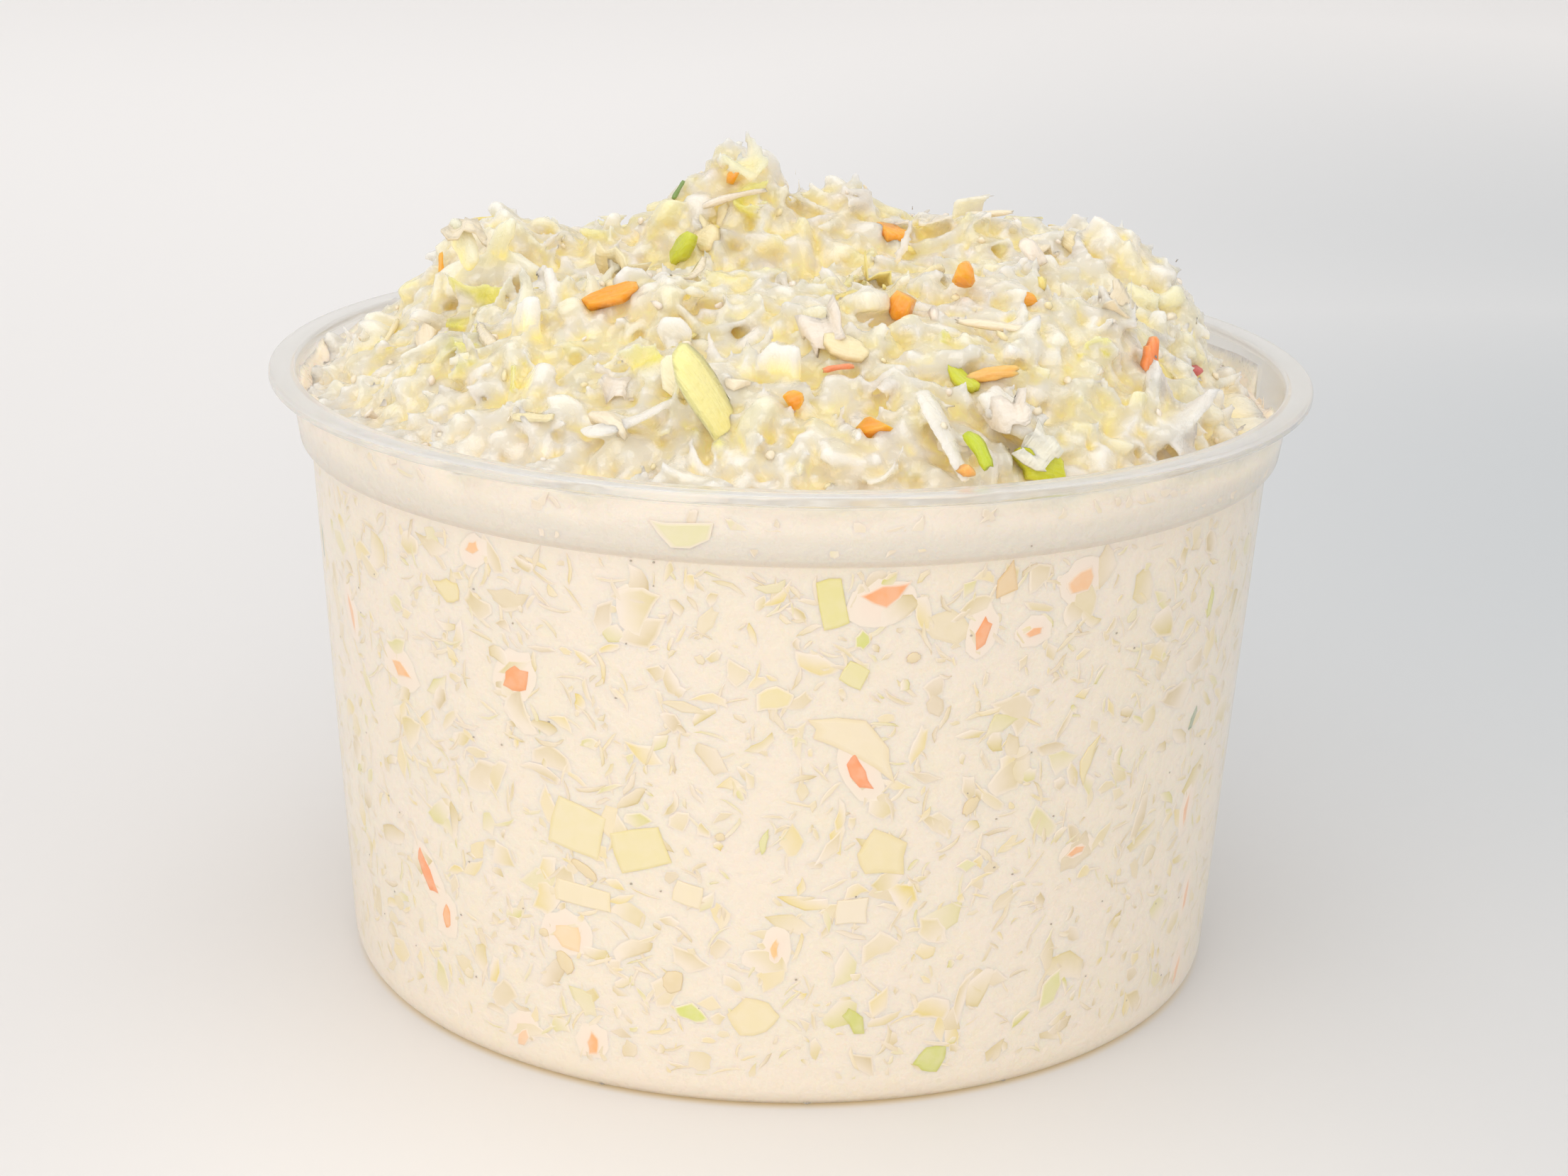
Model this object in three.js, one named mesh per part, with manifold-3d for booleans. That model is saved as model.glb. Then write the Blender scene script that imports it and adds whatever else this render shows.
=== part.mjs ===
// Coleslaw in its round deli cup: a thin-walled plastic cup with a flat rim, filled to the brim
// with finely chopped cabbage and carrot in a white dressing that stands up in a tall rough heap.
// Millimetres, +Z up. The origin is the middle of the foot, on the surface the cup stands on.

import * as THREE from 'three';
import { mergeVertices } from 'three/addons/utils/BufferGeometryUtils.js';
import Module from 'manifold-3d';

const wasm = await Module();
wasm.setup();

// The cup.
const rimRadius = 58.5;
const rimTop = 68.6;
const rimThickness = 1.2;
const rimRounding = 0.3;
const wall = 0.7;
const bandTopRadius = 56.2;
const ledgeRadius = 55.2;
const ledgeHeight = 60.7;
const ledgeDrop = 0.5;
const wallTopRadius = 54.0;
const footWallRadius = 50.4;
const cornerHeight = 2.6;
const cornerDepth = 1.2;
const footRingWidth = 2.4;
const footRingSlope = 0.8;
const floorUnderside = 0.9;
const cupSegments = 64;

// The slaw that fills the cup, and the heap on top of it.
const slawGap = 0.3;
const slawSegments = 54;
const slawRings = 12;
const brim = { front: 67.3, right: 63.5, back: 65.6, left: 66.6 };
const domeEdge = { front: 51.4, right: 49.2, back: 49.4, left: 52.1 };
const domeSteepness = { front: 4.6, right: 7.4, back: 3.0, left: 3.6 };
const domeTop = 79.0;
const bumpCoarse = { size: 12.0, height: 1.2 };
const bumpFine = { size: 4.0, height: 1.4, fullRadius: 25.0 };

// Lumps and hollows that give the heap its outline: place, height over the dome and width.
const lumps = [
  { name: 'peak', x: -8.0, y: 7.0, height: 11.0, width: 4.8 },
  { name: 'peak shoulder', x: 5.0, y: 8.0, height: 7.0, width: 5.5 },
  { name: 'back shoulder', x: 19.0, y: 8.0, height: 3.6, width: 5.5 },
  { name: 'right shoulder', x: 36.5, y: 3.0, height: 4.6, width: 6.0 },
  { name: 'left crest', x: -35.0, y: 4.0, height: 5.2, width: 4.8 },
  { name: 'back left shoulder', x: -22.0, y: 8.0, height: 2.5, width: 6.0 },
  { name: 'front left lump', x: -25.0, y: -22.0, height: 3.2, width: 6.5 },
  { name: 'front middle lump', x: -5.0, y: -26.0, height: 2.0, width: 7.0 },
  { name: 'front right lump', x: 22.0, y: -22.0, height: 3.0, width: 9.0 },
  { name: 'left hollow', x: -37.0, y: -13.0, height: -3.6, width: 5.5 },
  { name: 'middle hollow', x: -14.0, y: -9.0, height: -2.4, width: 6.0 },
  { name: 'right hollow', x: 12.0, y: -10.0, height: -1.6, width: 5.0 },
  { name: 'lower front hollow', x: 4.0, y: -38.0, height: -1.6, width: 6.0 },
];

// Chopped pieces, largest first: how many, their corners or steps, and the smallest and largest
// of each size. Lean is the angle from lying flat, and bury the share that is under the surface.
const kinds = [
  {
    name: 'shard', count: 14, corners: 5, bury: 0.42,
    length: [7, 10], width: [4.0, 6.0], thickness: [1.3, 1.7], lean: [45, 75],
  },
  {
    name: 'leaf', count: 50, corners: 5, bury: 0.12,
    length: [9, 13], width: [6.5, 9.5], thickness: [1.5, 2.2], lean: [4, 24],
  },
  {
    name: 'shred', count: 36, corners: 2, bury: 0.1,
    length: [8, 13], width: [2.2, 3.2], thickness: [1.6, 2.2], lean: [0, 20],
  },
  {
    name: 'flake', count: 40, corners: 4, bury: 0.15,
    length: [5.5, 8.5], width: [4.0, 6.0], thickness: [1.8, 2.8], lean: [6, 40],
  },
];
const pieceReach = 54.2;
const pieceReachUnderLedge = 52.8;
const reachStep = 61.7;
const spread = 0.36;
const goldenAngle = Math.PI * (3 - Math.sqrt(5));
const randomSeed = 20611;

// Space between the heap and the rim on the right, which stays free of pieces.
const freeSpace = new THREE.Box3(new THREE.Vector3(48.8, -6.5, 64.2), new THREE.Vector3(56, 6.5, 80));

// Pieces that stand out by themselves: place, size, turn about +Z and lean, in degrees.
const landmarks = [
  {
    name: 'yellow leaf', kind: 'leaf', corners: 8, bury: 0.1, x: -8, y: -40,
    length: 15, width: 5.6, thickness: 1.5, turn: -58, lean: 8,
  },
  {
    name: 'left wedge', kind: 'shred', corners: 3, bury: 0.1, x: -35, y: -4,
    length: 14, width: 4.2, thickness: 2.4, turn: 12, lean: 6,
  },
  {
    name: 'crest tip', kind: 'shard', corners: 5, bury: 0.3, x: -37, y: 5,
    length: 11, width: 4.0, thickness: 1.4, turn: 70, lean: 66,
  },
  {
    name: 'crest tip right', kind: 'shard', corners: 5, bury: 0.3, x: -31, y: 6,
    length: 9, width: 4.4, thickness: 1.4, turn: 40, lean: 60,
  },
  {
    name: 'peak tip left', kind: 'shard', corners: 5, bury: 0.3, x: -12, y: 8,
    length: 6, width: 4.0, thickness: 1.4, turn: 150, lean: 40,
  },
  {
    name: 'peak tip', kind: 'shard', corners: 5, bury: 0.3, x: -5, y: 8,
    length: 6, width: 4.4, thickness: 1.4, turn: 95, lean: 45,
  },
  {
    name: 'thin sliver', kind: 'shard', corners: 5, bury: 0.3, x: 12.5, y: 9,
    length: 9, width: 2.6, thickness: 1.0, turn: 80, lean: 75,
  },
  {
    name: 'right jagged leaf', kind: 'leaf', corners: 7, bury: 0.1, x: 40, y: -24,
    length: 12, width: 9.0, thickness: 1.6, turn: -20, lean: 20,
  },
  {
    name: 'white chunk', kind: 'leaf', corners: 7, bury: 0.12, x: -28, y: -27,
    length: 10, width: 7.0, thickness: 3.0, turn: 20, lean: 26,
  },
];

const slawMaterial = new THREE.MeshStandardMaterial({ color: 0xf3ecd6, roughness: 0.42, metalness: 0 });
const cupMaterial = new THREE.MeshStandardMaterial({
  color: 0xeef0f2, roughness: 0.16, metalness: 0, transparent: true, opacity: 0.3,
});

// A seeded generator, so that the pieces fall in the same places every time.
function seededRandom(seed) {
  let state = seed;
  return () => {
    state = (state + 0x6d2b79f5) | 0;
    let mixed = Math.imul(state ^ (state >>> 15), 1 | state);
    mixed = (mixed + Math.imul(mixed ^ (mixed >>> 7), 61 | mixed)) ^ mixed;
    return ((mixed ^ (mixed >>> 14)) >>> 0) / 4294967296;
  };
}

const random = seededRandom(randomSeed);

function between([low, high]) {
  return low + (high - low) * random();
}

// Points of a quarter-round corner from the foot up to the wall, of the given depth and height.
function cornerPoints(footRadius, footHeight, depth, height, steps) {
  const points = [];
  for (let step = 1; step <= steps; step += 1) {
    const angle = (step / steps) * (Math.PI / 2);
    points.push([footRadius + depth * Math.sin(angle), footHeight + height * (1 - Math.cos(angle))]);
  }
  return points;
}

// Outline of the inside of the cup, moved inwards by a gap: from the middle of the floor to the rim.
function insideOutline(gap) {
  const inset = wall + gap;
  const floor = floorUnderside + inset;
  const wallFoot = footWallRadius - inset;
  const underLedge = ledgeHeight - ledgeDrop + inset;
  return [
    [0, floor],
    [wallFoot - cornerDepth, floor],
    ...cornerPoints(wallFoot - cornerDepth, floor, cornerDepth, cornerHeight, 3),
    [wallTopRadius - inset, underLedge],
    [ledgeRadius - inset, underLedge + ledgeDrop],
  ];
}

// A solid turned about +Z from an outline of [radius, height] pairs.
function turned(outline, segments) {
  const points = outline.map(([radius, height]) => new THREE.Vector2(radius, height));
  const geometry = new THREE.LatheGeometry(points, segments);
  geometry.rotateX(Math.PI / 2);
  return geometry;
}

function cupGeometry() {
  const footOuter = footWallRadius - cornerDepth;
  const footInner = footOuter - footRingWidth;
  const rimUnderside = rimTop - rimThickness;
  const outside = [
    [0, floorUnderside],
    [footInner - footRingSlope, floorUnderside],
    [footInner, 0],
    [footOuter, 0],
    ...cornerPoints(footOuter, 0, cornerDepth, cornerHeight, 3),
    [wallTopRadius, ledgeHeight - ledgeDrop],
    [ledgeRadius - rimRounding, ledgeHeight - rimRounding],
    [ledgeRadius, ledgeHeight],
    [bandTopRadius, rimUnderside],
    [rimRadius - rimRounding, rimUnderside],
    [rimRadius, rimUnderside + rimRounding],
    [rimRadius, rimTop - rimRounding],
    [rimRadius - rimRounding, rimTop],
  ];
  const lip = bandTopRadius - wall;
  const inside = [...insideOutline(0), [lip - rimRounding, rimTop - rimRounding], [lip, rimTop]];
  return turned([...outside, ...inside.reverse()], cupSegments);
}

// A fixed number from 0 to 1 for each point of a square lattice.
function latticeValue(column, row) {
  const wave = Math.sin(column * 127.1 + row * 311.7) * 43758.5453;
  return wave - Math.floor(wave);
}

// Smooth bumps between the lattice's points, from -1 to 1.
function bumps(x, y, size) {
  const column = Math.floor(x / size);
  const row = Math.floor(y / size);
  const across = THREE.MathUtils.smoothstep(x / size - column, 0, 1);
  const along = THREE.MathUtils.smoothstep(y / size - row, 0, 1);
  const near = THREE.MathUtils.lerp(latticeValue(column, row), latticeValue(column + 1, row), across);
  const far = THREE.MathUtils.lerp(latticeValue(column, row + 1), latticeValue(column + 1, row + 1), across);
  return 2 * THREE.MathUtils.lerp(near, far, along) - 1;
}

// A measure that changes smoothly round the cup between its values at the four sides.
function roundTheCup(sides, right, back) {
  const across = right > 0 ? sides.right : sides.left;
  const along = back > 0 ? sides.back : sides.front;
  return across * right ** 2 + along * back ** 2;
}

// Height of the slaw's top above a place: level at the wall, then the side of the heap, then its
// top with the lumps and hollows. The brim dips below the rim on the right.
function slawHeight(x, y) {
  const radius = Math.hypot(x, y);
  const right = radius > 0 ? x / radius : 1;
  const back = radius > 0 ? y / radius : 0;
  const wallLevel = roundTheCup(brim, right, back);
  const inward = Math.min(radius / roundTheCup(domeEdge, right, back), 1);
  const rise = 1 - inward ** roundTheCup(domeSteepness, right, back);
  let height = wallLevel + (domeTop - wallLevel) * rise;
  for (const lump of lumps) {
    const away = ((x - lump.x) ** 2 + (y - lump.y) ** 2) / lump.width ** 2;
    height += lump.height * Math.exp(-away / 2);
  }
  height += bumpCoarse.height * bumps(x, y, bumpCoarse.size) * rise;
  height += bumpFine.height * bumps(x, y, bumpFine.size) * Math.min(radius / bumpFine.fullRadius, 1);
  return height;
}

function slawNormal(x, y) {
  const step = 0.5;
  const slopeX = (slawHeight(x + step, y) - slawHeight(x - step, y)) / (2 * step);
  const slopeY = (slawHeight(x, y + step) - slawHeight(x, y - step)) / (2 * step);
  return new THREE.Vector3(-slopeX, -slopeY, 1).normalize();
}

// The body of the slaw: it follows the inside of the cup, and its top follows slawHeight.
function slawCore() {
  const outline = insideOutline(slawGap);
  const topStart = outline.length;
  const topRadius = outline[topStart - 1][0];
  for (let ring = 0; ring <= slawRings; ring += 1) {
    outline.push([topRadius * (1 - ring / slawRings), rimTop]);
  }
  const geometry = turned(outline, slawSegments);
  const positions = geometry.getAttribute('position');
  for (let index = 0; index < positions.count; index += 1) {
    if (index % outline.length >= topStart) {
      positions.setZ(index, slawHeight(positions.getX(index), positions.getY(index)));
    }
  }
  return geometry;
}

// A chopped bit of leaf: a thin many-sided plate with uneven corners and a gentle wave.
function leafGeometry(length, width, thickness, sides) {
  const geometry = new THREE.CylinderGeometry(0.5, 0.5, thickness, sides, 1);
  geometry.rotateX(Math.PI / 2);
  const corners = Array.from({ length: sides }, () => between([0.7, 1.16]));
  const phase = between([0, 2 * Math.PI]);
  const wave = 0.14 * width;
  const positions = geometry.getAttribute('position');
  for (let index = 0; index < positions.count; index += 1) {
    const x = positions.getX(index);
    const y = positions.getY(index);
    const turn = Math.atan2(y, x) / (2 * Math.PI) + 1;
    const corner = corners[Math.round(turn * sides) % sides];
    const lift = wave * Math.sin(5 * x + 3 * y + phase);
    positions.setXYZ(index, x * corner * length, y * corner * width, positions.getZ(index) + lift);
  }
  return geometry;
}

// A shred: a bar that bends along its length and narrows towards one end.
function shredGeometry(length, width, thickness, steps) {
  const geometry = new THREE.BoxGeometry(length, width, thickness, steps, 1, 1);
  const bend = between([-0.16, 0.16]);
  const arch = between([-0.14, 0.04]);
  const narrowing = between([0.2, 0.55]);
  const positions = geometry.getAttribute('position');
  for (let index = 0; index < positions.count; index += 1) {
    const along = positions.getX(index) / length;
    const slim = 1 - narrowing * (along + 0.5);
    const side = positions.getY(index) * slim + 4 * bend * length * along * along;
    const height = positions.getZ(index) * slim + 4 * arch * length * along * along;
    positions.setXYZ(index, along * length, side, height);
  }
  return geometry;
}

// Sets a piece on the slaw: turned in its own plane, leaning out of the surface, partly buried,
// and moved inwards where it would touch the wall of the cup.
function setOnSlaw(geometry, piece, bury) {
  const normal = slawNormal(piece.x, piece.y);
  const upright = new THREE.Quaternion().setFromUnitVectors(new THREE.Vector3(0, 0, 1), normal);
  const turn = new THREE.Quaternion();
  turn.setFromAxisAngle(new THREE.Vector3(0, 0, 1), THREE.MathUtils.degToRad(piece.turn));
  const lean = new THREE.Quaternion();
  lean.setFromAxisAngle(new THREE.Vector3(0, 1, 0), -THREE.MathUtils.degToRad(piece.lean));
  const rise = (0.5 - bury) * piece.length * Math.sin(THREE.MathUtils.degToRad(piece.lean));
  geometry.applyQuaternion(upright.multiply(turn).multiply(lean));
  geometry.translate(piece.x, piece.y, slawHeight(piece.x, piece.y) + rise);
  const positions = geometry.getAttribute('position');
  let excess = 0;
  for (let index = 0; index < positions.count; index += 1) {
    const reach = positions.getZ(index) > reachStep ? pieceReach : pieceReachUnderLedge;
    excess = Math.max(excess, Math.hypot(positions.getX(index), positions.getY(index)) - reach);
  }
  const outward = new THREE.Vector3(piece.x, piece.y, 0).normalize();
  geometry.translate(-outward.x * excess, -outward.y * excess, 0);
  return geometry;
}

function isClearOfFreeSpace(geometry) {
  geometry.computeBoundingBox();
  return !geometry.boundingBox.intersectsBox(freeSpace);
}

const makers = { shard: leafGeometry, leaf: leafGeometry, flake: leafGeometry, shred: shredGeometry };

// Every piece of one kind, spread evenly over the heap by a spiral with a little scatter.
function scatteredPieces(kind, turnStart) {
  return Array.from({ length: kind.count }, (_, index) => {
    const reach = (pieceReach - 1.5) * ((index + 0.5) / kind.count) ** spread;
    const angle = index * goldenAngle + turnStart + between([-0.2, 0.2]);
    const piece = {
      x: reach * Math.cos(angle),
      y: reach * Math.sin(angle),
      length: between(kind.length),
      width: between(kind.width),
      thickness: between(kind.thickness),
      turn: between([0, 360]),
      lean: between(kind.lean),
    };
    const geometry = makers[kind.name](piece.length, piece.width, piece.thickness, kind.corners);
    return setOnSlaw(geometry, piece, kind.bury);
  }).filter(isClearOfFreeSpace);
}

function landmarkPieces() {
  return landmarks.map((piece) => {
    const geometry = makers[piece.kind](piece.length, piece.width, piece.thickness, piece.corners);
    return setOnSlaw(geometry, piece, piece.bury);
  });
}

function toSolid(geometry) {
  const bare = geometry.clone();
  bare.deleteAttribute('normal');
  bare.deleteAttribute('uv');
  const merged = mergeVertices(bare, 1e-4);
  const corners = Array.from(merged.index.array);
  const triangles = [];
  for (let first = 0; first < corners.length; first += 3) {
    const [a, b, c] = corners.slice(first, first + 3);
    if (a !== b && b !== c && c !== a) {
      triangles.push(a, b, c);
    }
  }
  return new wasm.Manifold(new wasm.Mesh({
    numProp: 3,
    vertProperties: new Float32Array(merged.getAttribute('position').array),
    triVerts: new Uint32Array(triangles),
  }));
}

function toGeometry(solid) {
  const mesh = solid.getMesh();
  const geometry = new THREE.BufferGeometry();
  geometry.setAttribute('position', new THREE.BufferAttribute(mesh.vertProperties, 3));
  geometry.setIndex(new THREE.BufferAttribute(mesh.triVerts, 1));
  geometry.computeVertexNormals();
  return geometry;
}

// The slaw is one body: the pieces are joined to the core, and a hollow that they close is filled.
function slawGeometry() {
  const pieces = [
    ...landmarkPieces(),
    ...kinds.flatMap((kind, index) => scatteredPieces(kind, index * 1.3)),
  ];
  let slaw = toSolid(slawCore());
  for (const piece of pieces) {
    slaw = slaw.add(toSolid(piece));
  }
  const bodies = slaw.decompose().sort((first, second) => second.volume() - first.volume());
  return toGeometry(bodies[0]);
}

function namedMesh(name, geometry, material) {
  const mesh = new THREE.Mesh(geometry, material);
  mesh.name = name;
  return mesh;
}

const group = new THREE.Group();
group.add(namedMesh('cup', cupGeometry(), cupMaterial));
group.add(namedMesh('coleslaw', slawGeometry(), slawMaterial));

export default group;
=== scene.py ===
"""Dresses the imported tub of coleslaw: a clear deli cup with a flat rim, the slaw that shows
through its wall, and the rough heap of chopped cabbage and carrot that stands above it."""

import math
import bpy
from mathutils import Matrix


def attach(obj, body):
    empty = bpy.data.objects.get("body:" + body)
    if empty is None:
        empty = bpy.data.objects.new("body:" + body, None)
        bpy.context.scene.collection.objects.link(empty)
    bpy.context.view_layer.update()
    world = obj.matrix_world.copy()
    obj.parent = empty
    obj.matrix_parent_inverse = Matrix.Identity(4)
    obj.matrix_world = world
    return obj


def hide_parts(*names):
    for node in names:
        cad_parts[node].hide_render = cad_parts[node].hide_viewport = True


bl_info = {
    "name": "Tub of Coleslaw",
    "version": (1, 0, 0),
    "blender": (4, 5, 0),
    "location": "View3D > Sidebar > Coleslaw",
    "description": "Builds a clear deli cup heaped with chopped coleslaw round its packed frame",
    "category": "Object",
}

from collections import namedtuple

import bmesh
import bpy
import numpy as np
from bpy.props import FloatProperty, FloatVectorProperty, IntProperty, PointerProperty
from mathutils import Matrix, Vector
from mathutils.bvhtree import BVHTree
from mathutils.kdtree import KDTree

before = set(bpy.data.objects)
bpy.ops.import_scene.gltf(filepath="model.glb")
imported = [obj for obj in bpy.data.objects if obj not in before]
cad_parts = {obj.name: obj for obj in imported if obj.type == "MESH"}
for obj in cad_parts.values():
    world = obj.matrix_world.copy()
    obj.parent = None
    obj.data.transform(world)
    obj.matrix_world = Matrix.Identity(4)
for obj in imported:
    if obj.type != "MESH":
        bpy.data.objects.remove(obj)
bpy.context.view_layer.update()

MM = 0.001

# The camera, in millimetres and radians, and the picture that it frames, in pixels.
PICTURE_WIDTH = 2212
PICTURE_HEIGHT = 1659
LENS_PIXELS = 4147.65
SENSOR_WIDTH = 36.0
CAMERA_DISTANCE = 326.115
CAMERA_HEIGHT = 143.679
CAMERA_PITCH = 0.3045
CAMERA_YAW = -0.0007
CAMERA_ROLL = 0.0231

# The cup, in millimetres: heights and radii of its outline.
RIM_THICKNESS = 1.2
RIM_ROUNDING = 0.42
BAND_TOP_RADIUS = 56.2
LEDGE_RADIUS = 55.2
LEDGE_HEIGHT = 60.7
LEDGE_DROP = 0.5
WALL_TOP_RADIUS = 54.0
FOOT_WALL_RADIUS = 50.4
CORNER_HEIGHT = 2.6
CORNER_DEPTH = 1.2
FOOT_RING_WIDTH = 2.4
FOOT_RING_SLOPE = 0.8
FLOOR_UNDERSIDE = 0.9
FOOT_LIFT = 0.3
CUP_SEGMENTS = 240
CORNER_STEPS = 7
RIM_BEVEL_STEPS = 4
SHARP_ANGLE = math.radians(40)
MILKY_MARGIN = 0.2
NIB_INSET = 0.6
NIB_LENGTH, NIB_WIDTH, NIB_HEIGHT = 0.9, 0.6, 0.4
NIB_START = math.radians(86)

# How far the dressing and the bits pressed to the wall reach into the plastic, in millimetres.
BODY_BITE = 0.2
FOOT_BITE = 0.8
CHIP_BITE = 0.3
STANDOUT_BITE = 0.1
BAND_BITE = 0.3

# The bits pressed to the wall, in millimetres: how thick they are and between which heights they
# lie, under the ledge and on the band above it.
CHIP_THICKNESS = 0.2
LOWEST_CHIP = 2.1
WALL_SPAN = (2.2, 60.0)
SPREAD_SPAN = (3.0, 60.0)
BAND_SPAN = (61.6, 66.8)

# The dressing, in millimetres: how far its top lies under the slaw's and over what width it rises
# to it at the wall, the film that climbs the wall of the band, the pits in the top, where the
# colour of the brim begins, the middle of the band, and the narrow stretches by the ledge that
# carry painted shade, with a painted shadow line under the band. Its closed top is first made
# flat, high above the cup, and then let down.
DRESSING_SINK = 3.0
DRESSING_EDGE = 6.0
FILM_HEIGHT, FILM_RELIEF, FILM_SIZE = 66.6, 0.5, 7.0
PITS_HEIGHT, PITS_SIZE = 0.45, 1.9
FINE_PITS_HEIGHT, FINE_PITS_SIZE = 0.3, 1.1
BRIM_RADIUS = 44.0
BAND_MIDDLE = 65.0
LEDGE_SHADE = 0.8
LEDGE_LINE_BELOW, LEDGE_LINE_ABOVE = 0.7, 0.4
LID_ABOVE_RIM, LID_MARGIN = 20.0, 10.0
DRESSING_RINGS, DRESSING_SEGMENTS = 90, 300

# How far to each side of the right, in radians, the film leaves the wall free, and how strongly
# the dressing's top takes the painted warm shade of the crevices, and near the wall the brim's
# colour instead, and its band the painted shade under the rim, from 0 to 1.
FILM_FREE_ANGLE = 0.16
TOP_TINT, BAND_TINT = 0.75, 0.7

# The slaw's top, in millimetres: level at the wall, the dome above it and its steepness, which is
# a power, the bumps on it, the clumps with creases between them, and its reach.
BRIM = {"front": 67.3, "right": 63.5, "back": 65.6, "left": 66.6}
DOME_EDGE = {"front": 51.4, "right": 49.2, "back": 49.4, "left": 52.1}
DOME_STEEPNESS = {"front": 4.6, "right": 7.4, "back": 3.0, "left": 3.6}
DOME_TOP = 79.0
BUMP_COARSE_SIZE, BUMP_COARSE_HEIGHT = 12.0, 1.2
BUMP_FINE_SIZE, BUMP_FINE_HEIGHT, BUMP_FINE_RADIUS = 4.0, 1.4, 25.0
CLUMP_SIZE, CLUMP_HEIGHT, CLUMP_SINK = 9.0, 3.0, 2.0
CLUMP_BEND, CLUMP_BEND_SIZE = 2.0, 5.0
CLUMP_EDGE = 8.0
HEAP_REACH = 54.0
SLOPE_STEP = 1.0

# The bound cabbage, in millimetres: the slab inside it, where it is cut off, and its skin's cells.
SLAB_BOTTOM = 56.0
SLAB_SINK = 0.5
SLAB_LID = 100.0
MASS_FLOOR = 60.0
VOXEL = 0.38

# How finely the bound cabbage is made.
SLAB_RINGS, SLAB_SEGMENTS = 60, 180
MASS_TRIANGLES = 188000

# The room for a loose piece inside the cup's wall, in millimetres: heights and radii.
ROOM_HEIGHTS = (0, 60.2, 61.4, 68.6)
ROOM_RADII = (52.4, 53.1, 54.3, 55.2)

# The free space between the heap and the rim on the right, in millimetres.
CLEAR_RADIUS = 47.5
CLEAR_HALF_WIDTH = 8.0

# Where a line of sight is followed, in millimetres from the camera, and in what steps.
SIGHT_NEAR = 240.0
WALL_SIGHT_FAR, WALL_SIGHT_STEP = 400.0, 0.1
HEAP_SIGHT_FAR, HEAP_SIGHT_STEP = 430.0, 0.2

# What a line of sight can meet, in millimetres: the wall as far up as this above the ledge, and
# the heap from this height up and out to this radius; the last height is above all of the heap.
BAND_SEEN = 6.0
SEEN_FLOOR = 60.0
SEEN_REACH = 52.0
ABOVE_HEAP = 130.0

# Angles in radians: from each spread piece to the next, and nearly all the way round.
GOLDEN_ANGLE = math.pi * (3 - math.sqrt(5))
FULL_TURN = 6.28

# How near points are joined, in meshes made in metres and in forms made in millimetres.
METRE_JOIN, FORM_JOIN = 1e-6, 1e-4

# The heap's lumps and hollows: places from the middle, heights and widths in millimetres.
Lump = namedtuple("Lump", "name x y height width")
LUMPS = (
    Lump("peak", -8.0, 7.0, 11.0, 4.8),
    Lump("peak shoulder", 5.0, 8.0, 7.0, 5.5),
    Lump("back shoulder", 19.0, 8.0, 3.6, 5.5),
    Lump("right shoulder", 36.5, 3.0, 4.6, 6.0),
    Lump("left crest", -35.0, 4.0, 5.2, 4.8),
    Lump("back left shoulder", -22.0, 8.0, 2.5, 6.0),
    Lump("front left lump", -25.0, -22.0, 3.2, 6.5),
    Lump("front middle lump", -5.0, -26.0, 2.0, 7.0),
    Lump("front right lump", 22.0, -22.0, 3.0, 9.0),
    Lump("left hollow", -37.0, -13.0, -3.6, 5.5),
    Lump("middle hollow", -14.0, -9.0, -2.4, 6.0),
    Lump("right hollow", 12.0, -10.0, -1.6, 5.0),
    Lump("lower front hollow", 4.0, -38.0, -1.6, 6.0),
)


# Settings.


def srgb(red, green, blue):
    """A screen colour, 0 to 255 a channel, as the linear colour that shaders take."""
    shares = (value / 255 for value in (red, green, blue))
    return tuple(s / 12.92 if s <= 0.04045 else ((s + 0.055) / 1.055) ** 2.4 for s in shares)


def length(name, description, millimetres):
    """A length that is set in millimetres and kept in metres."""
    return FloatProperty(
        name=name, description=description, default=millimetres * MM, min=0.0,
        subtype="DISTANCE", unit="LENGTH", precision=5,
    )


def colour(name, description, default):
    """A linear colour."""
    return FloatVectorProperty(
        name=name, description=description, default=default, min=0.0, max=1.0, subtype="COLOR",
    )


def amount(name, description, default, low=0.0, high=1.0):
    """A share or a strength."""
    return FloatProperty(
        name=name, description=description, default=default, min=low, max=high, subtype="FACTOR",
    )


def count(name, description, default):
    """A whole number from 0 up."""
    return IntProperty(name=name, description=description, default=default, min=0)


class CupSettings(bpy.types.PropertyGroup):
    """Sizes and plastic of the deli cup."""

    rim_radius: length("Rim radius", "Outside radius of the flat rim", 58.5)
    rim_top: length("Rim height", "Height of the top of the rim above the table", 68.6)
    wall: length("Wall", "Thickness of the moulded wall", 0.7)
    nibs: count("Foot nibs", "Small bumps under the foot that the cup stands on", 14)
    tint: colour("Plastic", "Colour of the clear plastic", srgb(251, 250, 248))
    rim_tint: colour("Rim", "Colour of the thick rim and the nibs", srgb(238, 237, 234))
    rim_clear: amount("Rim clearness", "How much light passes the thick rim and the nibs", 0.72)
    haze: amount("Haze", "How much the plastic blurs what lies behind it", 0.2)


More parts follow.
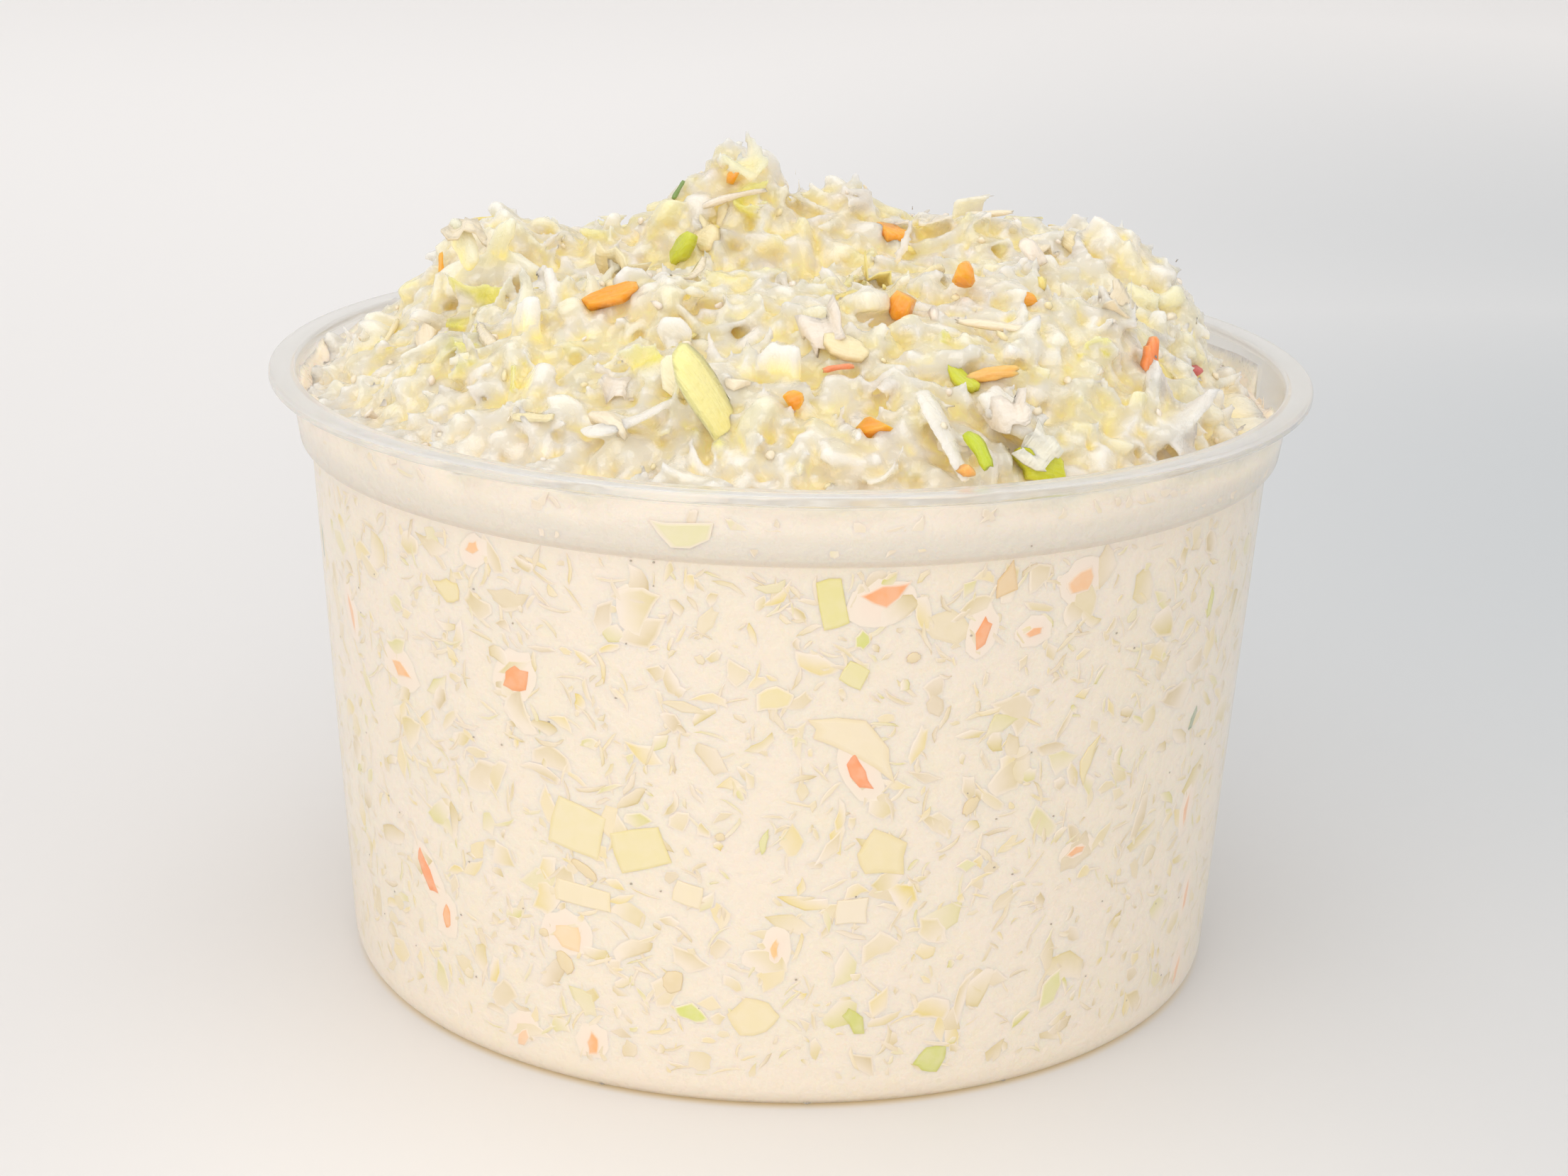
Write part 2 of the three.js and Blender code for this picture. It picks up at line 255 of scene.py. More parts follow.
class SlawSettings(bpy.types.PropertyGroup):
    """Amounts and colours of the coleslaw."""

    seed: count("Seed", "Start of the random draws", 4127)
    dressing: colour("Dressing", "Colour of the dressing against the wall", srgb(248, 232, 213))
    # Painted shade: the warm yellow given to the heap's crevices and the slab under it, standing in
    # for light that passes through the cabbage.
    crevice_shade: colour("Crevices", "Colour deep between the pieces of the heap", srgb(255, 235, 150))
    # Painted light: a warm glow emitted from the heap's crevices, standing in for light scattered
    # inside the wet slaw.
    inner: amount("Inner light", "Light that comes out of the wet crevices again", 0.26)
    brim: colour("Brim", "Colour of the wet slaw along the rim", srgb(244, 232, 214))
    # Painted shade: the darker colour of the slaw behind the band, under the rim, and the painted
    # shadow line under the band.
    band: colour("Band", "Colour of the slaw behind the hazy band", srgb(228, 221, 206))
    ledge_line: colour("Ledge line", "Colour of the shadow under the band", srgb(226, 206, 180))
    coated: count("Coated pieces", "Pieces of cabbage bound together by the dressing", 4300)
    flakes: count("Flakes", "Chopped flat bits of cabbage on the heap", 14)
    ribs: count("Ribs", "Chunky bits of cabbage rib on the heap", 6)
    shreds: count("Shreds", "Narrow strips of cabbage on the heap", 30)
    leaves: count("Leaves", "Thin frilly bits of leaf on the heap", 18)
    crumbs: count("Crumbs", "The finest loose bits on the heap", 140)
    wall_chips: count("Wall chips", "Bits of cabbage pressed to the wall", 2000)
    band_chips: count("Band chips", "Faint bits of cabbage behind the hazy band", 220)
    wall_slivers: count("Wall slivers", "Fine slivers pressed to the wall", 2400)
    specks: count("Specks", "Dark specks at the wall", 150)
    hidden_bits: count("Bits behind", "Carrot and green bits at the back of the wall", 70)


class StageSettings(bpy.types.PropertyGroup):
    """Floor and studio light."""

    floor: colour("Floor", "Colour of the floor near the cup", srgb(225, 223, 222))
    # Painted light: a pool of light on the floor just in front of the cup.
    lit_front_floor: colour(
        "Front floor", "Colour of the floor just before the cup", srgb(240, 236, 232)
    )
    far_floor: colour(
        "Far floor", "Colour of the floor and backdrop far behind", srgb(244, 242, 241)
    )
    # Painted light and shade: a thin warm line round the foot, standing in for the contact shadow
    # lit through the slaw.
    contact: colour(
        "Contact", "Colour of the light that the slaw casts round the foot", srgb(232, 206, 150)
    )
    # Painted shadow: the cup's soft shadow on the floor and backdrop at its right.
    shade: colour(
        "Shaded floor", "Colour of the floor at the cup's dim right side", srgb(196, 200, 203)
    )
    key_power: FloatProperty(
        name="Key light", description="Power of the large soft light at the front left",
        default=6.5, min=0.0, unit="POWER",
    )
    fill_power: FloatProperty(
        name="Fill light", description="Power of the soft light at the right",
        default=0.2, min=0.0, unit="POWER",
    )
    top_power: FloatProperty(
        name="Top light", description="Power of the soft light overhead",
        default=1.8, min=0.0, unit="POWER",
    )
    sky: amount("Room light", "Strength of the even light from all round", 0.875, 0.0, 4.0)


# Shader nodes.


def add(tree, kind, inputs=None, **settings):
    """Adds a shader node with its settings; each input gets a value, or a link from a socket."""
    made = tree.nodes.new("ShaderNode" + kind)
    for name, value in settings.items():
        setattr(made, name, value)
    for name, value in (inputs or {}).items():
        if isinstance(value, bpy.types.NodeSocket):
            tree.links.new(value, made.inputs[name])
        else:
            made.inputs[name].default_value = value
    return made


def mixed(tree, share, first, second):
    """Mixes two colours by a share from 0 to 1."""
    return add(tree, "Mix", {0: share, 6: first, 7: second}, data_type="RGBA").outputs[2]


def ranged(tree, value, low, high, to_low=0.0, to_high=1.0):
    """A value from low to high as a soft step from to_low to to_high."""
    inputs = {
        "Value": value, "From Min": low, "From Max": high, "To Min": to_low, "To Max": to_high,
    }
    return add(tree, "MapRange", inputs, clamp=True, interpolation_type="SMOOTHSTEP").outputs[0]


def combined(tree, operation, first, second):
    """Two numbers put together, such as by MULTIPLY or MAXIMUM."""
    return add(tree, "Math", {0: first, 1: second}, operation=operation).outputs[0]


def measured(tree, operation, first, second=(0.0, 0.0, 0.0)):
    """The length of a vector, or the distance between two."""
    made = add(tree, "VectorMath", {0: first, 1: second}, operation=operation)
    return made.outputs["Value"]


def noise(tree, place, scale, detail):
    """Soft noise from 0 to 1, so many waves to the metre or to the unit of the place."""
    inputs = {"Vector": place, "Scale": scale, "Detail": detail}
    return add(tree, "TexNoise", inputs).outputs[0]


def object_place(tree):
    """The place on an object, in metres."""
    return add(tree, "TexCoord").outputs["Object"]


def tint_attribute(tree):
    """The colour that a mesh's points hold, and in alpha how much it counts."""
    return add(tree, "Attribute", attribute_name="tint").outputs


def new_group(name, inputs, outputs):
    """An empty shader node group: its tree, what it is given and what it puts out."""
    tree = bpy.data.node_groups.new(name, "ShaderNodeTree")
    for direction, sockets in (("INPUT", inputs), ("OUTPUT", outputs)):
        for socket, kind in sockets:
            tree.interface.new_socket(
                name=socket, in_out=direction, socket_type="NodeSocket" + kind
            )
    given = tree.nodes.new("NodeGroupInput").outputs
    return tree, given, tree.nodes.new("NodeGroupOutput").inputs


def rgba(colour_value):
    """A colour with full cover, as nodes take it."""
    return (*colour_value[:3], 1.0)


# The cloudy cabbage behind the dressing: how far its cells are bent, in metres, how many there
# are to a metre, how strongly they show, and their colour on screen.
CLOUD_WANDER = 0.0022
CLOUD_CELLS = 360.0
CLOUD_SHARE = 0.3
CLOUDY_CABBAGE = (250, 234, 198)


def dressing_group():
    """White dressing with faint cloudy bits of cabbage behind its surface."""
    name = "Creamy dressing"
    if name in bpy.data.node_groups:
        return bpy.data.node_groups[name]
    tree, given, out = new_group(
        name, [("Dressing", "Color"), ("Cabbage", "Color")], [("Color", "Color")]
    )
    place = object_place(tree)
    wander = add(tree, "TexNoise", {"Vector": place, "Scale": 330.0, "Detail": 2.0})
    shifted = add(
        tree, "VectorMath", {0: wander.outputs["Color"], 1: (CLOUD_WANDER,) * 3},
        operation="MULTIPLY",
    ).outputs[0]
    bent_place = add(tree, "VectorMath", {0: place, 1: shifted}, operation="ADD").outputs[0]
    cell_inputs = {"Vector": bent_place, "Scale": CLOUD_CELLS}
    cells = add(tree, "TexVoronoi", cell_inputs)
    edges = add(
        tree, "TexVoronoi", cell_inputs, feature="DISTANCE_TO_EDGE"
    ).outputs["Distance"]
    pick = add(tree, "SeparateColor", {0: cells.outputs["Color"]}).outputs[0]
    chosen = ranged(tree, pick, 0.45, 0.95)
    soft = ranged(tree, edges, 0.02, 0.32)
    faint = combined(tree, "MULTIPLY", chosen, soft)
    faint = combined(tree, "MULTIPLY", faint, CLOUD_SHARE)
    cloud = noise(tree, place, scale=95.0, detail=4.0)
    cloud = ranged(tree, cloud, 0.35, 0.75, 0.0, 0.2)
    share = combined(tree, "MAXIMUM", faint, cloud)
    tree.links.new(mixed(tree, share, given["Dressing"], given["Cabbage"]), out["Color"])
    return tree


def wet_group():
    """Fibres along a piece and fine pits on it: gives a normal and a patchy roughness."""
    name = "Wet fibres"
    if name in bpy.data.node_groups:
        return bpy.data.node_groups[name]
    tree, given, out = new_group(
        name,
        [("Fibres", "Float"), ("Dry", "Float")],
        [("Normal", "Vector"), ("Roughness", "Float"), ("Shade", "Float")],
    )
    place = object_place(tree)
    along = add(tree, "UVMap", uv_map="grain").outputs[0]
    stretch = add(tree, "Mapping", {"Vector": along, "Scale": (0.35, 2.6, 1.0)}).outputs[0]
    fibres = noise(tree, stretch, scale=given["Fibres"], detail=2.0)
    pits = noise(tree, place, scale=1500.0, detail=3.0)
    height = combined(tree, "ADD", fibres, pits)
    bump = add(tree, "Bump", {"Height": height, "Strength": 0.75, "Distance": 0.00022})
    patches = noise(tree, place, scale=420.0, detail=2.0)
    rough = ranged(tree, patches, 0.38, 0.62, 0.14, 0.42)
    rough = combined(tree, "ADD", rough, given["Dry"])
    tree.links.new(bump.outputs[0], out["Normal"])
    tree.links.new(rough, out["Roughness"])
    tree.links.new(fibres, out["Shade"])
    return tree


def creamy(tree, slaw):
    """The dressing's cloudy colour, placed in a material's tree."""
    inputs = {"Dressing": rgba(slaw.dressing), "Cabbage": rgba(srgb(*CLOUDY_CABBAGE))}
    return add(tree, "Group", inputs, node_tree=dressing_group()).outputs[0]


def new_material(name):
    """An empty material: itself, its tree and the socket that its shader goes into."""
    material = bpy.data.materials.new(name)
    material.use_nodes = True
    tree = material.node_tree
    tree.nodes.clear()
    return material, tree, tree.nodes.new("ShaderNodeOutputMaterial").inputs["Surface"]


# How much the plastic bends light, and the share of the light that it lets fall on the slaw.
PLASTIC_IOR = 1.49
LIGHT_PASSED = 0.96


def plastic_material(name, cup, tint, clear_share):
    """Clear moulded plastic: glass to the eye, and open to the light that falls on the slaw."""
    material, tree, surface = new_material(name)
    place = object_place(tree)
    ripple = noise(tree, place, scale=40.0, detail=2.0)
    rough = ranged(tree, ripple, 0.3, 0.7, cup.haze * 0.7, cup.haze * 1.3)
    glass = add(tree, "BsdfPrincipled", {
        "Base Color": rgba(tint), "Roughness": rough, "IOR": PLASTIC_IOR,
        "Transmission Weight": clear_share,
    })
    ray = add(tree, "LightPath").outputs
    open_to = combined(tree, "MAXIMUM", ray["Is Shadow Ray"], ray["Is Diffuse Ray"])
    clear = add(tree, "BsdfTransparent", {"Color": rgba((LIGHT_PASSED,) * 3)}).outputs[0]
    both = add(tree, "MixShader", {0: open_to, 1: glass.outputs[0], 2: clear}).outputs[0]
    tree.links.new(both, surface)
    return material


def dressing_material(slaw):
    """The dressing that fills the cup and lies between the pieces of the heap."""
    material, tree, surface = new_material("Dressing")
    cream = creamy(tree, slaw)
    # The tint carries painted shade: the crevice colour on the top, the band's shade and the shadow
    # line under it; near the wall it carries the wet brim's colour.
    deep = tint_attribute(tree)
    base = mixed(tree, deep["Alpha"], cream, deep["Color"])
    place = object_place(tree)
    pits = noise(tree, place, scale=900.0, detail=4.0)
    bump = add(tree, "Bump", {"Height": pits, "Strength": 0.6, "Distance": 0.0003})
    rough = ranged(tree, pits, 0.35, 0.65, 0.22, 0.5)
    shader = add(tree, "BsdfPrincipled", {
        "Base Color": base, "Roughness": rough, "Normal": bump.outputs[0],
        "Subsurface Weight": 0.5, "Subsurface Radius": (1.0, 0.7, 0.4), "Subsurface Scale": 0.0012,
    })
    tree.links.new(shader.outputs[0], surface)
    return material


def pressed_material(name, slaw, roughness):
    """A bit against the wall: its own colour where it touches, dressing where it sinks."""
    material, tree, surface = new_material(name)
    cream = creamy(tree, slaw)
    tint = tint_attribute(tree)
    place = object_place(tree)
    cloud = noise(tree, place, scale=700.0, detail=3.0)
    patch = ranged(tree, cloud, 0.3, 0.7, 0.8, 1.0)
    share = combined(tree, "MULTIPLY", tint["Alpha"], patch)
    base = mixed(tree, share, cream, tint["Color"])
    shader = add(tree, "BsdfPrincipled", {"Base Color": base, "Roughness": roughness})
    tree.links.new(shader.outputs[0], surface)
    return material


# Painted glow of the heap, light emitted to stand in for light scattered in the wet slaw: none on
# its surface, warm in its crevices.
UNLIT = srgb(0, 0, 0)
PAINTED_CREVICE_GLOW = srgb(255, 206, 90)


def chopped_material(name, fibres, dry, glow, glow_scale, inner=0.0):
    """Wet chopped vegetable: its tint, fibres along it, light that soaks in, and a wet coat.

    The last argument is the strength of a painted warm glow, light emitted where the tint's alpha
    is above 0 to stand in for light scattered out of the wet crevices.
    """
    material, tree, surface = new_material(name)
    given = tint_attribute(tree)
    tint = given["Color"]
    wet = add(tree, "Group", {"Fibres": fibres, "Dry": dry}, node_tree=wet_group())
    streak = ranged(tree, wet.outputs["Shade"], 0.3, 0.75, 0.0, 0.3)
    paler = {"Color": tint, "Saturation": 0.75, "Value": 1.04}
    pale = add(tree, "HueSaturation", paler).outputs[0]
    base = mixed(tree, streak, tint, pale)
    shader = add(tree, "BsdfPrincipled", {
        "Base Color": base, "Roughness": wet.outputs["Roughness"],
        "Normal": wet.outputs["Normal"],
        "Subsurface Weight": glow, "Subsurface Radius": (1.0, 0.95, 0.85),
        "Subsurface Scale": glow_scale, "Coat Weight": 0.3, "Coat Roughness": 0.1,
    })
    # Painted light: a warm glow emitted where the tint's alpha marks the hollows.
    if inner:
        lit = mixed(tree, given["Alpha"], rgba(UNLIT), rgba(PAINTED_CREVICE_GLOW))
        tree.links.new(lit, shader.inputs["Emission Color"])
        shader.inputs["Emission Strength"].default_value = inner
    tree.links.new(shader.outputs[0], surface)
    return material


# The form of the slaw.


# Uneven numbers that leave no pattern in the bumps made from them.
LATTICE_ACROSS, LATTICE_ALONG, LATTICE_GAIN = 127.1, 311.7, 43758.5453


def lattice_value(column, row):
    """A fixed number from 0 to 1 for each point of a square lattice, with no order to it."""
    wave = np.sin(column * LATTICE_ACROSS + row * LATTICE_ALONG) * LATTICE_GAIN
    return wave - np.floor(wave)


def bumps(x, y, size):
    """Smooth bumps between the points of a square lattice, from -1 to 1."""
    column, row = np.floor(x / size), np.floor(y / size)
    across, along = x / size - column, y / size - row
    across = across * across * (3 - 2 * across)
    along = along * along * (3 - 2 * along)
    near, far = (
        lattice_value(column, line) * (1 - across) + lattice_value(column + 1, line) * across
        for line in (row, row + 1)
    )
    return 2 * (near * (1 - along) + far * along) - 1


def round_the_cup(sides, right, back):
    """A value given for four sides, blended smoothly all the way round the cup."""
    across = np.where(right > 0, sides["right"], sides["left"])
    along = np.where(back > 0, sides["back"], sides["front"])
    return across * right**2 + along * back**2


def slaw_height(x, y):
    """Height of the slaw's top above a place, in millimetres, for arrays or single places."""
    radius = np.hypot(x, y)
    bearing = np.arctan2(y, x)
    right, back = np.cos(bearing), np.sin(bearing)
    wall_level = round_the_cup(BRIM, right, back)
    inward = np.minimum(radius / round_the_cup(DOME_EDGE, right, back), 1)
    rise = 1 - inward ** round_the_cup(DOME_STEEPNESS, right, back)
    height = wall_level + (DOME_TOP - wall_level) * rise
    for lump in LUMPS:
        away = ((x - lump.x) ** 2 + (y - lump.y) ** 2) / lump.width**2
        height = height + lump.height * np.exp(-away / 2)
    height = height + BUMP_COARSE_HEIGHT * bumps(x, y, BUMP_COARSE_SIZE) * rise
    fine = BUMP_FINE_HEIGHT * np.minimum(radius / BUMP_FINE_RADIUS, 1)
    return height + fine * bumps(x, y, BUMP_FINE_SIZE)


def clumped_height(x, y):
    """The slaw's top with its pieces gathered in round clumps with creases between them."""
    inward = np.clip((HEAP_REACH - np.hypot(x, y)) / CLUMP_EDGE, 0, 1)
    bent_x = x + CLUMP_BEND * bumps(x, y, CLUMP_BEND_SIZE)
    bent_y = y + CLUMP_BEND * bumps(x + 31, y + 9, CLUMP_BEND_SIZE)
    clumps = np.abs(bumps(bent_x + 13, bent_y + 5, CLUMP_SIZE))
    return slaw_height(x, y) + inward * (CLUMP_HEIGHT * clumps - CLUMP_SINK)


def slaw_normals(x, y):
    """Directions that the slaw's smooth top faces at places on it."""
    step = SLOPE_STEP
    slope_x = (slaw_height(x + step, y) - slaw_height(x - step, y)) / (2 * step)
    slope_y = (slaw_height(x, y + step) - slaw_height(x, y - step)) / (2 * step)
    normals = np.stack([-slope_x, -slope_y, np.ones_like(slope_x)], axis=-1)
    return normals / np.linalg.norm(normals, axis=-1, keepdims=True)


def foot_corner(radius, bottom):
    """The rounded corner between the foot and the wall, from its bottom up to this radius."""
    return [
        (radius - CORNER_DEPTH * (1 - math.sin(a)), bottom + CORNER_HEIGHT * (1 - math.cos(a)))
        for a in np.linspace(0, math.pi / 2, CORNER_STEPS)
    ]


def inside_outline(inset):
    """The cup's outline moved in by this much: middle, corner of the floor, wall and ledge."""
    floor = FLOOR_UNDERSIDE + inset
    under_ledge = LEDGE_HEIGHT - LEDGE_DROP + inset
    return [
        (0.0, floor), *foot_corner(FOOT_WALL_RADIUS - inset, floor),
        (WALL_TOP_RADIUS - inset, under_ledge), (LEDGE_RADIUS - inset, under_ledge + LEDGE_DROP),
    ]


def inside_radius(cup, height, bite):
    """Radius of the inside of the cup at a height, in millimetres, plus a bite into the wall."""
    wall = cup.wall / MM
    outline = inside_outline(wall)[1:]
    outline.append((BAND_TOP_RADIUS - wall, cup.rim_top / MM))
    radii, heights = zip(*outline)
    return np.interp(height, heights, radii) + bite


def camera_matrix():
    """Where the camera stands and how it is turned."""
    return (
        Matrix.Translation((0, -CAMERA_DISTANCE * MM, CAMERA_HEIGHT * MM))
        @ Matrix.Rotation(-CAMERA_YAW, 4, "Z")
        @ Matrix.Rotation(math.pi / 2 - CAMERA_PITCH, 4, "X")
        @ Matrix.Rotation(CAMERA_ROLL, 4, "Z")
    )


def sight_line(pixel):
    """Start in metres and direction of the line of sight through a pixel."""
    across = (pixel[0] - PICTURE_WIDTH / 2) / LENS_PIXELS
    up = (PICTURE_HEIGHT / 2 - pixel[1]) / LENS_PIXELS
    place = camera_matrix()
    return place.translation, place.to_3x3() @ Vector((across, up, -1)).normalized()


def along_sight(start, direction, far, step):
    """Points on a line of sight, in millimetres."""
    return np.array(start) / MM + np.arange(SIGHT_NEAR, far, step)[:, None] * direction


def pixel_on_wall(cup, pixel):
    """Bearing round the cup and height of the place on its inner wall seen at a pixel."""
    start, direction = sight_line(pixel)
    x, y, z = along_sight(start, direction, WALL_SIGHT_FAR, WALL_SIGHT_STEP).T
    inside = (np.hypot(x, y) < inside_radius(cup, z, CHIP_BITE)) & (z < LEDGE_HEIGHT + BAND_SEEN)
    if not inside.any():
        raise RuntimeError(f"the line of sight through {pixel} misses the wall")
    first = int(np.argmax(inside))
    return math.atan2(y[first], x[first]), float(z[first])


# Small forms, one unit long, wide and thick, made once and then copied into joined meshes.


# How far the back and the front of a flat form lie from its middle, in thicknesses.
BACK_DEPTH, FRONT_RISE = 0.75, 0.25
Form = namedtuple("Form", "points faces")


def verts_of(parts):
    """The points among the parts of a bmesh."""
    return [part for part in parts if isinstance(part, bmesh.types.BMVert)]


def edges_of(parts):
    """The edges among the parts of a bmesh."""
    return [part for part in parts if isinstance(part, bmesh.types.BMEdge)]


def spun(outline, steps, merge_distance):
    """An outline of radii and heights spun once round the upright axis and closed."""
    bm = bmesh.new()
    verts = [bm.verts.new((radius, 0, height)) for radius, height in outline]
    edges = [bm.edges.new(pair) for pair in zip(verts, verts[1:])]
    bmesh.ops.spin(
        bm, geom=verts + edges, cent=(0, 0, 0), axis=(0, 0, 1), angle=2 * math.pi,
        steps=steps, use_merge=True, use_duplicate=False,
    )
    bmesh.ops.remove_doubles(bm, verts=bm.verts[:], dist=merge_distance)
    return bm


def cut_off(bm, place, outwards, distance):
    """Cuts off what lies past a plane and closes the hole."""
    made = bmesh.ops.bisect_plane(
        bm, geom=bm.verts[:] + bm.edges[:] + bm.faces[:], dist=distance,
        plane_co=place, plane_no=outwards, clear_outer=True,
    )["geom_cut"]
    bmesh.ops.holes_fill(bm, edges=edges_of(made))


def to_mesh(bm, name):
    """A smooth-shaded mesh made from a bmesh, which is then freed."""
    mesh = bpy.data.meshes.new(name)
    bm.to_mesh(mesh)
    bm.free()
    mesh.polygons.foreach_set("use_smooth", [True] * len(mesh.polygons))
    return mesh


def to_form(bm):
    """A closed form's points and triangles, made from a bmesh, which is then freed."""
    bmesh.ops.recalc_face_normals(bm, faces=bm.faces[:])
    bmesh.ops.triangulate(bm, faces=bm.faces[:])
    bm.verts.index_update()
    points = np.array([v.co for v in bm.verts])
    faces = np.array([[v.index for v in f.verts] for f in bm.faces])
    bm.free()
    return Form(points, faces)


def thickened(bm, inset):
    """Gives a flat face a thickness and an inset front, and returns the front."""
    back = bmesh.ops.extrude_face_region(bm, geom=bm.faces[:])["geom"]
    bmesh.ops.translate(bm, vec=(0, 0, -BACK_DEPTH), verts=verts_of(back))
    bm.faces.ensure_lookup_table()
    front = max(bm.faces, key=lambda f: f.calc_center_median().z)
    bmesh.ops.inset_individual(bm, faces=[front], thickness=inset, depth=0.0)
    bmesh.ops.translate(bm, vec=(0, 0, FRONT_RISE), verts=front.verts[:])
    return front


def flake_form(rng, corners=8):
    """A chopped bit with a rounded upper edge and a torn outline."""
    bm = bmesh.new()
    bmesh.ops.create_circle(bm, cap_ends=True, segments=corners * 2, radius=0.5)
    reach = rng.uniform(0.72, 1.16, corners)
    for number, vert in enumerate(bm.verts[:]):
        share = reach[number // 2]
        if number % 2:
            share = (share + reach[(number // 2 + 1) % corners]) / 2 + rng.uniform(-0.2, 0.2)
        vert.co.xy *= share
    front = thickened(bm, 0.08)
    for vert in bmesh.ops.poke(bm, faces=[front])["verts"]:
        vert.co.z += rng.uniform(-0.12, 0.2)
    return to_form(bm)


def shred_form(rng, steps=6, ridges=8):
    """A strip with ridges along it, narrower at one end."""
    bm = bmesh.new()
    bmesh.ops.create_cone(
        bm, cap_ends=True, segments=ridges, radius1=0.5, radius2=0.5, depth=1.0,
        matrix=Matrix.Rotation(math.pi / 2, 4, "Y"),
    )
    lengths = [e for e in bm.edges if abs(e.verts[0].co.x - e.verts[1].co.x) > 0.5]
    bmesh.ops.subdivide_edges(bm, edges=lengths, cuts=steps)
    groove = rng.uniform(0.62, 0.85)
    narrow, phase = rng.uniform(0.1, 0.5), any_turn(rng)
    for vert in bm.verts:
        turn = math.atan2(vert.co.z, vert.co.y) / (2 * math.pi) * ridges
        share = groove if round(turn) % 2 else 1.0
        share *= 1 - narrow * (vert.co.x + 0.5) + 0.08 * math.sin(9 * vert.co.x + phase)
        vert.co.y *= share
        vert.co.z *= share
        if abs(vert.co.x) > 0.49:
            vert.co.x += rng.uniform(-0.04, 0.04)
            vert.co.y *= 0.75
            vert.co.z *= 0.75
    return to_form(bm)


def rib_form(rng, cuts=4):
    """A chunk of rib: round outside, with flat chopped faces."""
    bm = bmesh.new()
    bmesh.ops.create_icosphere(bm, subdivisions=2, radius=0.55)
    for vert in bm.verts:
        vert.co *= rng.uniform(0.86, 1.1)
    for _ in range(cuts):
        normal = Vector(rng.normal(size=3)).normalized()
        cut_off(bm, normal * rng.uniform(0.2, 0.36), normal, 1e-5)
    return to_form(bm)


def frill_form(rng):
    """A thin bit of leaf with a torn edge that waves up and down."""
    bm = bmesh.new()
    bmesh.ops.create_grid(bm, x_segments=6, y_segments=3, size=0.5)
    phase, waves = any_turn(rng), rng.uniform(7, 12)
    for vert in bm.verts:
        edge = vert.co.y + 0.5
        vert.co.x *= 0.65 + 0.35 * edge
        if vert.is_boundary:
            vert.co.x += rng.uniform(-0.07, 0.07)
            vert.co.y += rng.uniform(-0.13, 0.13)
        vert.co.z = 0.75 * edge * math.sin(waves * vert.co.x + phase) + 0.3 * edge * edge
    bmesh.ops.solidify(bm, geom=bm.faces[:], thickness=0.22)
    return to_form(bm)


def crumb_form(rng):
    """A rounded crumb."""
    bm = bmesh.new()
    bmesh.ops.create_icosphere(bm, subdivisions=1, radius=0.5)
    for vert in bm.verts:
        vert.co *= rng.uniform(0.7, 1.25)
    return to_form(bm)


def chip_form(rng, corners, low, high, band=0.12):
    """A thin plate that lies against the wall; a band of this share makes its edge soft."""
    bm = bmesh.new()
    bmesh.ops.create_circle(bm, cap_ends=True, segments=corners, radius=0.5)
    for vert in bm.verts:
        vert.co.xy *= rng.uniform(low, high)
    bmesh.ops.subdivide_edges(bm, edges=bm.edges[:], cuts=1)
    for vert in bm.verts:
        vert.co.xy *= rng.uniform(0.9, 1.1)
    front = thickened(bm, 0.001)
    bmesh.ops.scale(bm, vec=(1 - 2 * band, 1 - 2 * band, 1), verts=front.verts[:])
    bmesh.ops.poke(bm, faces=[front])
    return to_form(bm)


# Keeps a form that is turned by an eighth at about its own size.
SQUARE_SCALE = 0.86


def squared(form):
    """A four-cornered form turned by an eighth, so that its sides lie along its length."""
    x, y = form.points[:, 0].copy(), form.points[:, 1].copy()
    form.points[:, 0], form.points[:, 1] = SQUARE_SCALE * (x - y), SQUARE_SCALE * (x + y)
    return form


def read(items, attribute, width, kind=float):
    """An attribute of a mesh's points, edges, faces or corners, as rows of numbers."""
    values = np.empty(len(items) * width, kind)
    items.foreach_get(attribute, values)
    return values.reshape(-1, width)


def set_tints(mesh, tints):
    """Gives each point of a mesh its colour, and in alpha how much that colour counts."""
    tint = mesh.attributes.new("tint", "FLOAT_COLOR", "POINT")
    tint.data.foreach_set("color", tints.astype(np.float32).ravel())


def finish_mesh(name, points, faces, tints, grain, material, smooth=True):
    """A mesh from points in millimetres, with its tint and grain for the material."""
    mesh = bpy.data.meshes.new(name)
    mesh.from_pydata((points * MM).tolist(), [], faces.tolist())
    set_tints(mesh, tints)
    layer = mesh.uv_layers.new(name="grain")
    corners = read(mesh.loops, "vertex_index", 1, np.int32)[:, 0]
    layer.data.foreach_set("uv", grain[corners].astype(np.float32).ravel())
    mesh.polygons.foreach_set("use_smooth", [smooth] * len(mesh.polygons))
    mesh.update()
    mesh.materials.append(material)
    return bpy.data.objects.new(name, mesh)


class Batch:
    """Joins many small forms into one mesh, with a tint and a grain direction for each point."""

    def __init__(self):
        self.points, self.faces, self.tints, self.grain, self.size = [], [], [], [], 0

    def add(self, points, faces, tints, grain):
        """Joins one form to the others."""
        self.points.append(points)
        self.faces.append(faces + self.size)
        self.tints.append(tints)
        self.grain.append(grain)
        self.size += len(points)

    def arrays(self):
        """Points, faces, tints and grain of all that was added."""
        parts = (self.points, self.faces, self.tints, self.grain)
        return tuple(np.concatenate(part) for part in parts)

    def build(self, name, material, smooth=True):
        """Puts what was added in the scene as one piece of the slaw."""
        dress(finish_mesh(name, *self.arrays(), material, smooth), "coleslaw")


def dress(piece, slot, *replaced):
    """Puts a finished piece in the scene, on the one body, and hides the parts that it replaces;
    the slot is not used.
    """
    bpy.context.scene.collection.objects.link(piece)
    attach(piece, "root")
    if replaced:
        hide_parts(*replaced)


